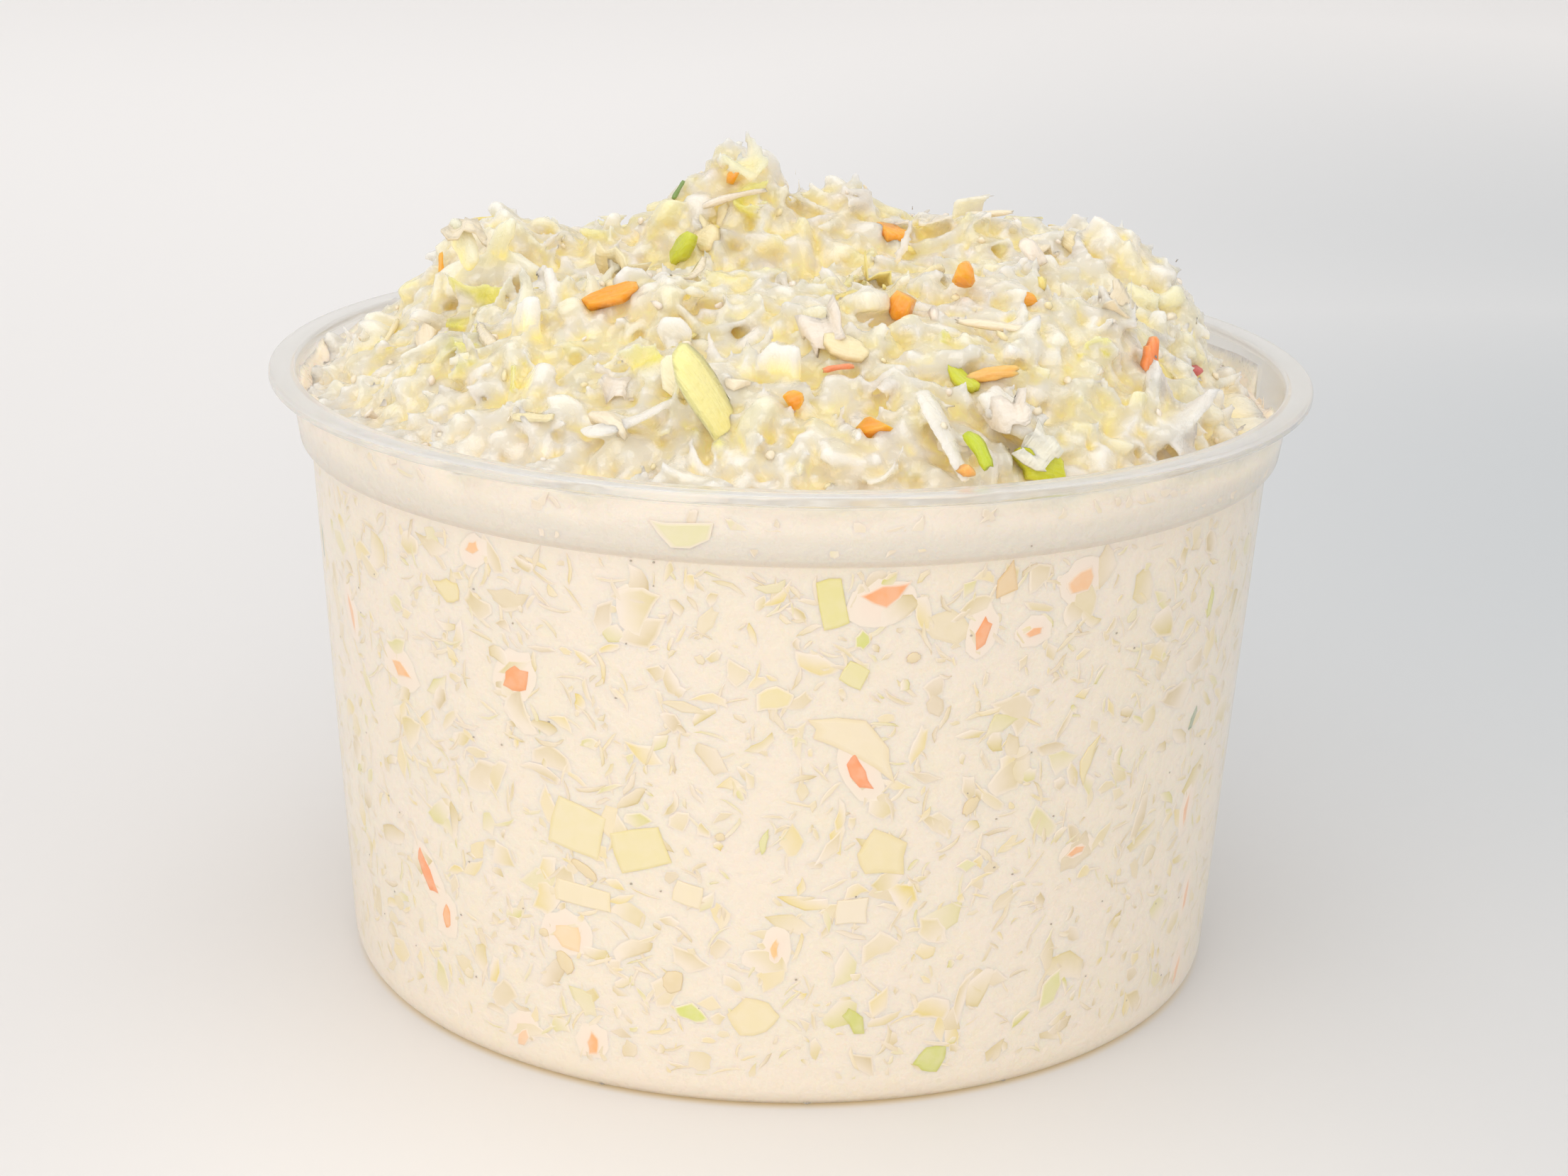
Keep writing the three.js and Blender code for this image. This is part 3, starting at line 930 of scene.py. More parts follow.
def turn_matrix(normal, turn, lean):
    """Turns a form in its own plane and leans it out of the surface with this normal."""
    upright = Vector((0, 0, 1)).rotation_difference(Vector(normal)).to_matrix()
    return np.array(upright @ Matrix.Rotation(turn, 3, "Z") @ Matrix.Rotation(-lean, 3, "Y"))


def bent(points, size, arch, sway):
    """A form at its size in millimetres, arched along its length and swayed sideways."""
    along = points[:, 0]
    sized = points * np.array(size)
    sized[:, 2] += 4 * arch * size[0] * along**2
    sized[:, 1] += 4 * sway * size[0] * along**2
    return sized


def set_down(form, place, normal, size, turn, lean, arch, sway=0.0):
    """Points of a form set at a place in millimetres, kept inside the cup, and their grain."""
    sized = bent(form.points, size, arch, sway)
    points = sized @ turn_matrix(normal, turn, lean).T + place
    room = np.interp(points[:, 2], ROOM_HEIGHTS, ROOM_RADII)
    excess = float(np.max(np.hypot(points[:, 0], points[:, 1]) - room))
    if excess > 0:
        points[:, :2] -= np.array(place[:2]) / math.hypot(*place[:2]) * excess
    return points, sized[:, :2]


class Ground:
    """The top of the heap, which loose pieces lie on and lines of sight meet."""

    def __init__(self, tree):
        self.tree = tree

    def under(self, x, y):
        """Place in millimetres and normal of the heap's top straight below a place."""
        above = Vector((x, y, ABOVE_HEAP)) * MM
        place, normal, _, _ = self.tree.ray_cast(above, Vector((0, 0, -1)))
        if place is None:
            raise RuntimeError(f"the heap has no top at {x:.1f}, {y:.1f}")
        return np.array(place) / MM, normal

    def seen(self, pixel):
        """Place and normal of the heap seen at a pixel, or nearest to its line of sight."""
        start, direction = sight_line(pixel)
        place, normal, _, _ = self.tree.ray_cast(start, direction)
        if place is None or place.z < SEEN_FLOOR * MM:
            points = along_sight(start, direction, HEAP_SIGHT_FAR, HEAP_SIGHT_STEP)
            over = points[:, 2] - slaw_height(points[:, 0], points[:, 1])
            over[np.hypot(points[:, 0], points[:, 1]) > SEEN_REACH] = np.inf
            nearest = points[int(np.argmin(over))]
            return self.under(nearest[0], nearest[1])
        return np.array(place) / MM, normal


def finished_ground(context):
    """The finished top of the bound cabbage."""
    mass = context.scene.objects["cabbage_mass"]
    return Ground(BVHTree.FromObject(mass, context.evaluated_depsgraph_get()))


MARK_FORMS = {"flake": flake_form, "shred": shred_form, "rib": rib_form, "frill": frill_form}

# How pieces are set down on the heap: the share of a leaning piece's length that lifts it, the
# least that the heap counts as facing the camera, and how far standout pieces bend.
LEAN_RISE = 0.3
LEAST_FACING = 0.35
MARK_BEND = 0.06


def set_mark(rng, batch, ground, mark):
    """Lays one standout piece on the heap where it is seen."""
    place, lie = ground.seen(mark.pixel)
    normal = (Vector(lie) + Vector(slaw_normals(*place[:2]))).normalized()
    form = MARK_FORMS[mark.form](rng)
    lean = math.radians(mark.lean)
    rise = mark.lift + LEAN_RISE * mark.length * math.sin(lean)
    back = -np.array(sight_line(mark.pixel)[1])
    place = place + back * rise / max(LEAST_FACING, back @ np.array(normal))
    points, grain = set_down(
        form, place, normal, (mark.length, mark.width, mark.thickness),
        math.radians(mark.turn), lean, rng.uniform(-MARK_BEND, MARK_BEND),
        rng.uniform(-MARK_BEND, MARK_BEND),
    )
    batch.add(points, form.faces, np.tile((*mark.tone, 1.0), (len(points), 1)), grain)


def on_wall(cup, form, angle, height, size, turn, bite, sway):
    """Points of a form laid against the inside of the wall, bent round it, in millimetres."""
    local = form.points * np.array(size)
    local[:, 1] += sway * size[0] * (4 * form.points[:, 0] ** 2 - 0.5)
    u = local[:, 0] * math.cos(turn) - local[:, 1] * math.sin(turn)
    v = local[:, 0] * math.sin(turn) + local[:, 1] * math.cos(turn)
    z = np.maximum(height + v, LOWEST_CHIP)
    radius = inside_radius(cup, z, bite)
    bearing = angle + u / radius
    radius = radius + local[:, 2] - size[2] / 4
    return np.stack([radius * np.cos(bearing), radius * np.sin(bearing), z], axis=1)


# Pieces scattered over the heap: mesh, forms, least and greatest length, width and thickness in
# millimetres, greatest lean in degrees, lift in millimetres, greatest arch and colours.
Kind = namedtuple("Kind", "piece forms length width thickness lean lift arch palette")

# Cabbage colours on screen, palest first.
WHITE = srgb(252, 236, 221)
MILKY = srgb(253, 236, 216)
CREAM = srgb(255, 232, 199)
BUTTER = srgb(255, 229, 176)
YELLOW = srgb(255, 226, 146)
LIME = srgb(236, 224, 112)
GLASSY = srgb(248, 235, 220)
PALE = ((WHITE, 3), (MILKY, 2), (GLASSY, 1), (CREAM, 4), (BUTTER, 4), (YELLOW, 1))
LOOSE = (
    (srgb(244, 231, 214), 3), (srgb(244, 229, 200), 3), (srgb(242, 226, 180), 3),
    (srgb(240, 220, 132), 1),
)
LEAFY = ((MILKY, 1), (CREAM, 3), (BUTTER, 3), (YELLOW, 2), (LIME, 0.6))


def any_turn(rng):
    """A turn drawn at random, in radians."""
    return rng.uniform(0, FULL_TURN)


def palette_draw(rng, palette, zone):
    """A colour from a palette of colours and weights; zones of the heap lean to one end."""
    colours, weights = zip(*palette)
    weights = np.array(weights) * np.exp(zone * np.linspace(-0.9, 0.9, len(weights)))
    return np.array(colours[rng.choice(len(colours), p=weights / weights.sum())])


# Scattered pieces: how far they stray and how wide zones of like colour are, in millimetres, and
# the radii between which they get smaller, with the shares of their size that they keep there.
SCATTER_STRAY = 0.8
ZONE_SIZE = 9.0
EDGE_SHRINK = ((46.0, 53.0), (1.0, 0.6))


def scatter(rng, batch, kind, number, ground):
    """Sets many pieces of one kind evenly over the heap, down on the ground that it has there."""
    order = np.arange(number)
    radius = HEAP_REACH * np.sqrt((order + 0.5) / number)
    angle = order * GOLDEN_ANGLE + any_turn(rng)
    x = radius * np.cos(angle) + rng.normal(0, SCATTER_STRAY, number)
    y = radius * np.sin(angle) + rng.normal(0, SCATTER_STRAY, number)
    zones = bumps(x + 40, y - 17, ZONE_SIZE)
    for px, py, normal, zone in zip(x, y, slaw_normals(x, y), zones):
        size = np.array(drawn_size(rng, (kind.length, kind.width, kind.thickness)))
        turn, lean = any_turn(rng), math.radians(kind.lean * rng.uniform() ** 2)
        lift, tone = rng.uniform(*kind.lift), palette_draw(rng, kind.palette, zone)
        arch, sway = rng.uniform(-kind.arch, kind.arch), rng.uniform(-kind.arch, kind.arch)
        form = kind.forms[rng.integers(len(kind.forms))]
        if math.hypot(px, py) > HEAP_REACH or is_clear_space(px, py):
            continue
        size *= np.interp(math.hypot(px, py), *EDGE_SHRINK)
        place, lie = ground.under(px, py)
        normal = (Vector(lie) * 0.5 + Vector(normal)).normalized()
        rise = lift + LEAN_RISE * size[0] * math.sin(lean)
        place = place + np.array(normal) * rise
        points, grain = set_down(form, place, normal, size, turn, lean, arch, sway)
        tints = np.ones((len(points), 4))
        tints[:, :3] = np.clip(tone * rng.uniform(0.96, 1.02), 0, 0.95)
        batch.add(points, form.faces, tints, grain + rng.uniform(0, 50, 2))


def is_clear_space(x, y):
    """True in the free space between the heap and the rim on the right."""
    return x > CLEAR_RADIUS and abs(y) < CLEAR_HALF_WIDTH


# Pieces that stand out by themselves on the heap: kind, form, the pixel where they show, length,
# width and thickness in millimetres, turn and lean in degrees, lift in millimetres and colour.
Mark = namedtuple("Mark", "kind form pixel length width thickness turn lean lift tone")
CARROT = srgb(255, 166, 32)
CARROT_PALE = srgb(255, 186, 96)
HEAP_MARKS = (
    *(Mark("cabbage", *row) for row in (
        ("flake", (684, 384), 12.0, 4.6, 3.0, 8, 4, 1.6, srgb(246, 238, 205)),
        ("frill", (676, 446), 9.0, 6.0, 2.5, 70, 30, 0.8, srgb(236, 222, 84)),
        ("frill", (668, 500), 7.0, 4.0, 2.0, 100, 24, 0.5, srgb(240, 226, 104)),
        ("flake", (735, 456), 7.0, 5.0, 1.8, 20, 46, 1.2, GLASSY),
        ("shred", (885, 597), 9.0, 4.5, 1.6, 8, 4, 0.6, GLASSY),
        ("flake", (951, 470), 4.0, 3.4, 1.2, 90, 70, 1.6, GLASSY),
        ("flake", (1104, 520), 5.5, 4.6, 1.3, 80, 62, 1.4, GLASSY),
        ("frill", (1655, 610), 8.0, 6.0, 2.6, -25, 24, 0.8, MILKY),
        ("frill", (1650, 575), 8.0, 6.0, 3.0, -10, 30, 1.8, MILKY),
        ("flake", (1427, 577), 8.0, 5.5, 1.4, -20, 24, 1.4, GLASSY),
        ("flake", (1215, 640), 9.0, 5.0, 1.5, 12, 8, 0.8, GLASSY),
        ("shred", (1330, 610), 12.0, 4.0, 1.4, -62, 10, 1.5, MILKY),
        ("flake", (1615, 415), 4.5, 3.0, 1.2, 10, 20, 0.6, srgb(238, 230, 150)),
        ("flake", (1655, 412), 3.6, 2.4, 1.2, 80, 50, 0.6, srgb(238, 230, 150)),
        ("frill", (1052, 212), 6.0, 4.0, 2.5, 60, 50, 1.6, srgb(232, 230, 172)),
        ("flake", (652, 330), 6.5, 3.4, 1.2, 62, 62, 2.0, srgb(240, 234, 166)),
        ("flake", (705, 335), 5.5, 3.0, 1.2, 50, 60, 1.8, srgb(238, 234, 176)),
        ("shred", (1282, 290), 7.0, 1.8, 0.7, 84, 76, 2.4, GLASSY),
    )),
    *(Mark("greens", *row) for row in (
        ("shred", (1010, 580), 14.0, 5.2, 1.3, 156, 14, 0.3, srgb(246, 236, 160)),
        ("flake", (962, 528), 5.0, 4.4, 0.9, 120, 20, 0.8, srgb(246, 238, 206)),
    )),
    *(Mark("carrot", *row) for row in (
        ("flake", (857, 415), 6.0, 2.2, 1.1, 8, 12, 0.1, CARROT),
        ("rib", (1358, 389), 3.7, 2.5, 2.7, 80, 20, 0.6, CARROT),
        ("rib", (1277, 429), 3.9, 3.2, 3.1, 40, 10, 0.9, CARROT),
        ("rib", (1449, 422), 1.9, 1.5, 1.4, 20, 10, 0.2, CARROT),
        ("flake", (1624, 511), 6.0, 2.2, 1.0, -64, 12, 0.5, srgb(250, 146, 76)),
        ("flake", (1404, 526), 5.4, 1.5, 0.8, 14, 8, 0.2, CARROT_PALE),
        ("rib", (1119, 564), 2.2, 1.9, 1.7, 30, 10, 0.7, CARROT),
        ("rib", (1231, 603), 4.2, 2.4, 2.0, -8, 6, 0.6, CARROT),
        ("flake", (1261, 326), 4.6, 2.4, 1.2, -30, 30, 0.3, CARROT),
        ("rib", (1037, 247), 2.4, 1.4, 1.4, 50, 20, 0.5, CARROT),
        ("shred", (622, 372), 2.5, 1.0, 0.8, 60, 40, 0.3, CARROT),
        ("shred", (1183, 518), 3.1, 0.8, 0.8, 20, 10, 0.7, srgb(238, 140, 90)),
        ("rib", (1362, 664), 2.0, 1.5, 1.2, 0, 10, 0.1, srgb(246, 170, 80)),
        ("rib", (1687, 522), 2.2, 1.4, 1.2, 0, 10, 0.1, srgb(206, 104, 100)),
    )),
    *(Mark("greens", *row) for row in (
        ("flake", (1470, 650), 6.0, 4.4, 1.4, 20, 20, 0.4, srgb(216, 218, 30)),
        ("frill", (1468, 634), 4.8, 3.6, 1.6, 70, 30, 1.0, srgb(244, 238, 218)),
        ("shred", (1382, 633), 4.4, 1.8, 1.0, -60, 20, 0.6, srgb(196, 208, 30)),
        ("flake", (960, 350), 4.6, 2.4, 1.2, 8, 24, 0.2, srgb(206, 212, 52)),
        ("flake", (1357, 533), 4.6, 1.8, 0.9, -42, 16, 0.1, srgb(206, 210, 50)),
        ("shred", (957, 268), 2.4, 0.8, 0.7, 40, 5, 0.2, srgb(128, 156, 84)),
    )),
)

# Bits that stand out on the wall: mesh, form, the pixel where they show, length and width in
# millimetres, turn in degrees, how much of the bit touches the wall, whether its edge is crisp,
# and colour.
Press = namedtuple("Press", "piece form pixel length width turn cover crisp tone")
CHIP_YELLOW = srgb(240, 221, 142)
CHIP_PALE = srgb(243, 224, 160)
WALL_GREEN = srgb(214, 216, 78)
WALL_CARROT = srgb(255, 160, 34)
SPECK = srgb(120, 100, 78)
WALL_TONES = (
    (srgb(221, 199, 104), 5), (srgb(234, 208, 78), 3), (srgb(212, 187, 98), 4),
    (srgb(214, 206, 72), 2), (srgb(206, 180, 110), 2),
)
# Painted light: a pale orange halo round each carrot bit at the wall, standing in for the carrot's
# colour scattered through the dressing.
HALO, HALO_COVER = srgb(255, 224, 204), 0.4
BUBBLE = srgb(234, 210, 156)
WALL_MARKS = (
    *(Press("chips", *row) for row in (
        ("square", (818, 1168), 6.4, 5.8, -14, 0.75, True, srgb(240, 224, 152)),
        ("square", (906, 1196), 6.2, 4.8, 18, 0.8, True, srgb(238, 222, 140)),
        ("square", (1175, 850), 5.8, 3.0, -78, 0.9, True, srgb(232, 222, 116)),
        ("flake", (976, 762), 7.4, 3.6, 12, 0.6, False, srgb(228, 224, 140)),
        ("flake", (1204, 1050), 11.0, 4.4, -24, 0.7, True, srgb(245, 226, 178)),
        ("flake", (1096, 988), 4.0, 3.2, 0, 0.8, False, CHIP_YELLOW),
        ("flake", (636, 830), 3.6, 3.2, 20, 0.8, True, CHIP_YELLOW),
        ("square", (826, 1263), 7.0, 2.6, -4, 0.55, True, CHIP_PALE),
        ("flake", (1532, 1074), 5.2, 1.8, 75, 0.7, True, CHIP_YELLOW),
        ("square", (1206, 951), 2.7, 2.5, -28, 0.85, True, srgb(232, 222, 128)),
        ("flake", (1238, 1206), 6.2, 5.2, 10, 0.7, True, CHIP_YELLOW),
        ("square", (971, 1260), 3.4, 2.8, -14, 0.5, True, CHIP_PALE),
        ("flake", (1069, 1434), 5.0, 4.4, 30, 0.6, True, CHIP_YELLOW),
        ("square", (1201, 1285), 3.4, 3.0, 0, 0.6, True, srgb(242, 226, 190)),
        ("flake", (1416, 815), 4.8, 3.4, 64, 0.9, True, srgb(238, 200, 136)),
    )),
    *(Press("carrot", *row) for row in (
        ("flake", (1247, 824), 5.0, 2.8, 12, 0.9, False, srgb(255, 150, 20)),
        ("flake", (1526, 816), 4.0, 2.6, 30, 0.65, False, srgb(255, 172, 50)),
        ("strip", (1385, 894), 3.6, 1.6, 78, 1.0, True, srgb(255, 146, 8)),
        ("strip", (1457, 890), 2.6, 1.2, 14, 0.85, False, srgb(255, 158, 32)),
        ("flake", (727, 957), 4.4, 3.4, 58, 1.0, True, srgb(252, 146, 10)),
        ("flake", (567, 940), 4.6, 2.6, -18, 0.8, False, srgb(255, 172, 52)),
        ("strip", (500, 862), 5.0, 1.3, -70, 0.7, False, srgb(251, 162, 58)),
        ("strip", (1214, 1090), 5.2, 1.8, -62, 1.0, True, srgb(255, 138, 15)),
        ("strip", (606, 1228), 6.2, 2.0, -58, 1.0, True, srgb(255, 140, 17)),
        ("strip", (634, 1292), 3.0, 1.5, 85, 0.9, True, srgb(255, 158, 30)),
        ("strip", (1516, 1200), 3.0, 1.0, 12, 0.8, False, srgb(255, 160, 39)),
        ("strip", (837, 1471), 3.4, 1.6, 82, 0.85, False, srgb(255, 162, 35)),
        ("flake", (750, 1488), 3.0, 1.6, 60, 0.5, False, srgb(255, 172, 45)),
        ("strip", (1095, 1338), 3.2, 1.0, 86, 0.8, False, srgb(255, 182, 40)),
        ("flake", (669, 772), 2.0, 1.4, 40, 0.7, False, srgb(255, 172, 45)),
        ("flake", (802, 1316), 4.0, 3.2, 5, 0.45, True, srgb(255, 198, 60)),
        ("strip", (1670, 1139), 5.0, 1.2, 80, 0.6, False, srgb(251, 158, 55)),
        ("strip", (1668, 1261), 4.5, 1.2, 78, 0.6, False, srgb(251, 158, 55)),
        ("strip", (1654, 1371), 4.5, 1.2, 70, 0.6, False, srgb(253, 162, 55)),
    )),
    *(Press("green", *row) for row in (
        ("strip", (461, 763), 4.6, 1.2, 84, 0.9, True, srgb(112, 140, 110)),
        ("strip", (1679, 1012), 3.2, 0.9, 60, 0.8, True, srgb(120, 150, 110)),
        ("flake", (972, 1430), 4.2, 2.2, -14, 0.95, False, srgb(216, 222, 84)),
        ("flake", (1313, 1500), 5.0, 3.4, 24, 0.9, True, srgb(206, 212, 60)),
        ("strip", (1205, 1440), 4.0, 1.8, -60, 0.95, True, srgb(204, 208, 50)),
        ("flake", (1217, 902), 2.4, 1.8, 70, 0.9, False, WALL_GREEN),
        ("flake", (1482, 1394), 4.4, 3.0, 60, 0.6, False, WALL_GREEN),
        ("strip", (1703, 852), 3.6, 1.2, 80, 0.8, True, WALL_GREEN),
        ("strip", (1079, 1189), 3.2, 0.9, 80, 0.7, True, WALL_GREEN),
        ("flake", (1362, 1219), 3.0, 1.8, 0, 0.5, False, WALL_GREEN),
    )),
    *(Press("bubbles", "oval", *row, 1.0, True, BUBBLE) for row in (
        ((1288, 927), 1.5, 1.1, 10),
        ((1368, 1136), 2.4, 1.4, 50),
        ((950, 1384), 2.9, 2.2, 72),
        ((769, 1314), 1.2, 1.0, 0),
        ((799, 1356), 2.9, 1.8, -62),
        ((826, 1226), 3.6, 1.2, -34),
        ((1016, 1180), 1.1, 0.9, 0),
    )),
)


# The scattered bits at the wall, in millimetres: shortest and longest, then narrowest and widest.
BAND_CHIP_SIZE = ((0.9, 3.6), (0.5, 1.6))
SLIVER_SIZE = ((0.8, 4.2), (0.25, 0.7))
SPECK_SIZE = ((0.16, 0.32), (0.14, 0.24))
BEHIND_SIZE = ((2.0, 5.0), (1.0, 2.6))

# The chips: the shortest and how much longer others are, in millimetres, the power that makes
# long ones few, widths as shares of the length, the share with crisp edges, and the most sway.
CHIP_SHORTEST, CHIP_LONGER, CHIP_FEW_LONG = 1.2, 4.6, 2.2
CHIP_WIDTH_SHARES = (0.25, 0.8)
CRISP_CHIPS = 0.3
CHIP_SWAY = 0.16

# How much of each scattered bit touches the wall, from 0 to 1, and how much deeper in the plastic
# it lies, in millimetres.
CHIP_COVER, CHIP_DEPTH = (0.65, 1.0), (-0.04, 0.03)
BAND_CHIP_COVER = (0.25, 0.6)
SLIVER_COVER, SLIVER_DEPTH = (0.35, 1.0), (-0.05, 0.04)
SPECK_COVER, SPECK_DEPTH = 0.9, 0.06
BEHIND_COVER, BEHIND_DEPTH = (0.4, 1.0), 0.06
HALO_DEPTH = 0.02

# Where the specks and the bits behind lie, in millimetres and radians.
SPECK_HEIGHTS = (3, 66)
BEHIND_HEIGHTS = (5, 57)
BEHIND_ANGLES = (-0.2, math.pi + 0.2)

# How much wider than its carrot a halo is and where the height of the slaw's edge is measured, in
# millimetres, and what is left of each channel of a colour on a crisp edge.
HALO_EXTRA, BEHIND_HALO = 2.4, 2.0
EDGE_RADIUS = 53.0
EDGE_DARKER = (0.94, 0.9, 0.78)

# A bit's edge is what lies below this share of its thickness. On crisp bits the edge covers more
# of the dressing than the front does.
EDGE_LEVEL = 0.2
CRISP_EDGE, CRISP_FRONT = 1.2, 0.9

# How rough bubbles and other bits look behind the plastic, from 0 to 1.
BUBBLE_ROUGHNESS, BIT_ROUGHNESS = 0.12, 0.35


def drawn_size(rng, spans):
    """A size drawn at random from the spans that its sides may have."""
    return tuple(rng.uniform(*span) for span in spans)


def press_tints(points, tone, cover, crisp, rng, fade):
    """Tints of a bit against the wall: soft edges and a faded side sink into the dressing."""
    edge = points[:, 2] < EDGE_LEVEL
    tints = np.empty((len(points), 4))
    tints[:, :3] = tone
    tints[:, 3] = cover
    if crisp:
        tints[edge, :3] = np.array(tone) * EDGE_DARKER
        tints[:, 3] = np.where(edge, min(1.0, cover * CRISP_EDGE), cover * CRISP_FRONT)
    else:
        tints[edge, 3] = 0.0
    if fade:
        bearing = any_turn(rng)
        side = points[:, 0] * math.cos(bearing) + points[:, 1] * math.sin(bearing)
        tints[:, 3] *= np.clip(0.5 + side * 2 * fade, 0.0, 1.0)
    return tints


# Operators.


class MakeCup(bpy.types.Operator):
    """Spins the clear deli cup, rounds its rim and sets the nibs under its foot"""

    bl_idname = "coleslaw.cup"
    bl_label = "Cup"

    def execute(self, context):
        cup = context.scene.coleslaw_cup
        rim, top, wall = (value / MM for value in (cup.rim_radius, cup.rim_top, cup.wall))
        foot = FOOT_WALL_RADIUS - CORNER_DEPTH
        ring = foot - FOOT_RING_WIDTH
        lip = BAND_TOP_RADIUS - wall
        outside = [
            (0.0, FLOOR_UNDERSIDE), (ring - FOOT_RING_SLOPE, FLOOR_UNDERSIDE), (ring, FOOT_LIFT),
            *foot_corner(FOOT_WALL_RADIUS, FOOT_LIFT),
            (WALL_TOP_RADIUS, LEDGE_HEIGHT - LEDGE_DROP), (LEDGE_RADIUS, LEDGE_HEIGHT),
            (BAND_TOP_RADIUS, top - RIM_THICKNESS),
            (rim, top - RIM_THICKNESS), (rim, top), (lip, top),
        ]
        outline = outside + inside_outline(wall)[::-1]
        metres = [(radius * MM, height * MM) for radius, height in outline]
        bm = spun(metres, CUP_SEGMENTS, METRE_JOIN)
        rounded = ((rim, top - RIM_THICKNESS), (rim, top), (lip, top), (LEDGE_RADIUS, LEDGE_HEIGHT))
        rounded = {(round(radius, 2), round(height, 2)) for radius, height in rounded}
        hoops = []
        for edge in bm.edges:
            near, far = (
                (round(math.hypot(*v.co.xy) / MM, 2), round(v.co.z / MM, 2)) for v in edge.verts
            )
            if near == far and near in rounded:
                hoops.append(edge)
        bmesh.ops.bevel(
            bm, geom=hoops, offset=RIM_ROUNDING * MM, offset_type="OFFSET",
            segments=RIM_BEVEL_STEPS, profile=0.5, affect="EDGES", material=-1, clamp_overlap=True,
        )
        bmesh.ops.recalc_face_normals(bm, faces=bm.faces[:])
        for number in range(cup.nibs):
            place = (
                Matrix.Rotation(2 * math.pi * (number / cup.nibs) - NIB_START, 4, "Z")
                @ Matrix.Translation(((foot - NIB_INSET) * MM, 0, NIB_HEIGHT * MM))
                @ Matrix.Diagonal((NIB_LENGTH * MM, NIB_WIDTH * MM, NIB_HEIGHT * MM, 1))
            )
            nib = bmesh.ops.create_icosphere(bm, subdivisions=2, radius=1.0, matrix=place)["verts"]
            for face in {face for vert in nib for face in vert.link_faces}:
                face.material_index = 1
        for face in bm.faces:
            if face.calc_center_median().z > (top - RIM_THICKNESS - MILKY_MARGIN) * MM:
                face.material_index = 1
        mesh = to_mesh(bm, "deli_cup")
        mesh.set_sharp_from_angle(angle=SHARP_ANGLE)
        mesh.materials.append(plastic_material("Clear plastic", cup, cup.tint, 0.9))
        mesh.materials.append(plastic_material("Milky plastic", cup, cup.rim_tint, cup.rim_clear))
        dress(bpy.data.objects.new("deli_cup", mesh), "clear_plastic", "cup")
        return {"FINISHED"}


def dressing_outline(cup):
    """Half of the dressing's section with its top still flat, the top's radius and its height."""
    outline = inside_outline(cup.wall / MM - BODY_BITE)
    middle, corner, (wall_top, ledge) = outline[0], outline[1:-2], outline[-2:]
    ring = corner[0][0] - FOOT_RING_WIDTH + FOOT_RING_SLOPE
    outline = [middle, (ring - FOOT_RING_SLOPE, middle[1])]
    outline += [(ring, corner[0][1] - FOOT_BITE)]
    outline += [(radius, height - FOOT_BITE) for radius, height in corner]
    slope = (wall_top[0] - corner[-1][0]) / (wall_top[1] - corner[-1][1])
    outline += [(wall_top[0] - slope * LEDGE_SHADE, wall_top[1] - LEDGE_SHADE), wall_top]
    outline += [ledge, (ledge[0] + 0.1, ledge[1] + LEDGE_SHADE)]
    edge = float(inside_radius(cup, BAND_MIDDLE, BODY_BITE))
    outline.append((edge, BRIM["right"] - 0.5))
    lid = cup.rim_top / MM + LID_ABOVE_RIM
    outline += [(edge * (1 - ring / DRESSING_RINGS), lid) for ring in range(DRESSING_RINGS + 1)]
    return outline, edge, lid


def dressing_top(x, y, inward):
    """Heights of the dressing's pitted top, which lies under the slaw's and climbs the band."""
    relief = PITS_HEIGHT * bumps(x, y, PITS_SIZE)
    relief = relief + FINE_PITS_HEIGHT * bumps(x + 7, y + 3, FINE_PITS_SIZE)
    level = slaw_height(x, y) - DRESSING_SINK * inward + relief * np.clip(inward * 4, 0, 1)
    clear = np.abs(np.arctan2(y, x)) < FILM_FREE_ANGLE
    film = FILM_HEIGHT + FILM_RELIEF * bumps(x, y, FILM_SIZE)
    film = np.where(clear | (inward > 0.02), 0.0, film)
    return np.maximum(level, film)


def dressing_tints(points, on_top, inward, slaw):
    """Colours of the dressing: painted warm crevice shade on its top, and the wet brim's colour
    near the wall, painted shade on its band and a painted shadow line under the band.
    """
    tints = np.empty((len(points), 4))
    near_edge = (np.hypot(points[:, 0], points[:, 1]) > BRIM_RADIUS)[:, None]
    # The top takes the painted warm shade of the hollows, and near the wall the wet brim's colour.
    tints[:, :3] = np.where(near_edge, slaw.brim, slaw.crevice_shade)
    tints[:, 3] = np.where(on_top, TOP_TINT * inward, 0)
    level = points[:, 2]
    # Painted shade on the band, under the rim.
    band = ~on_top & (level > LEDGE_HEIGHT - LEDGE_LINE_BELOW)
    tints[band, :3] = slaw.band
    tints[band, 3] = BAND_TINT
    # A painted shadow line under the band.
    line = band & (level < LEDGE_HEIGHT + LEDGE_LINE_ABOVE)
    tints[line, :3] = slaw.ledge_line
    return tints


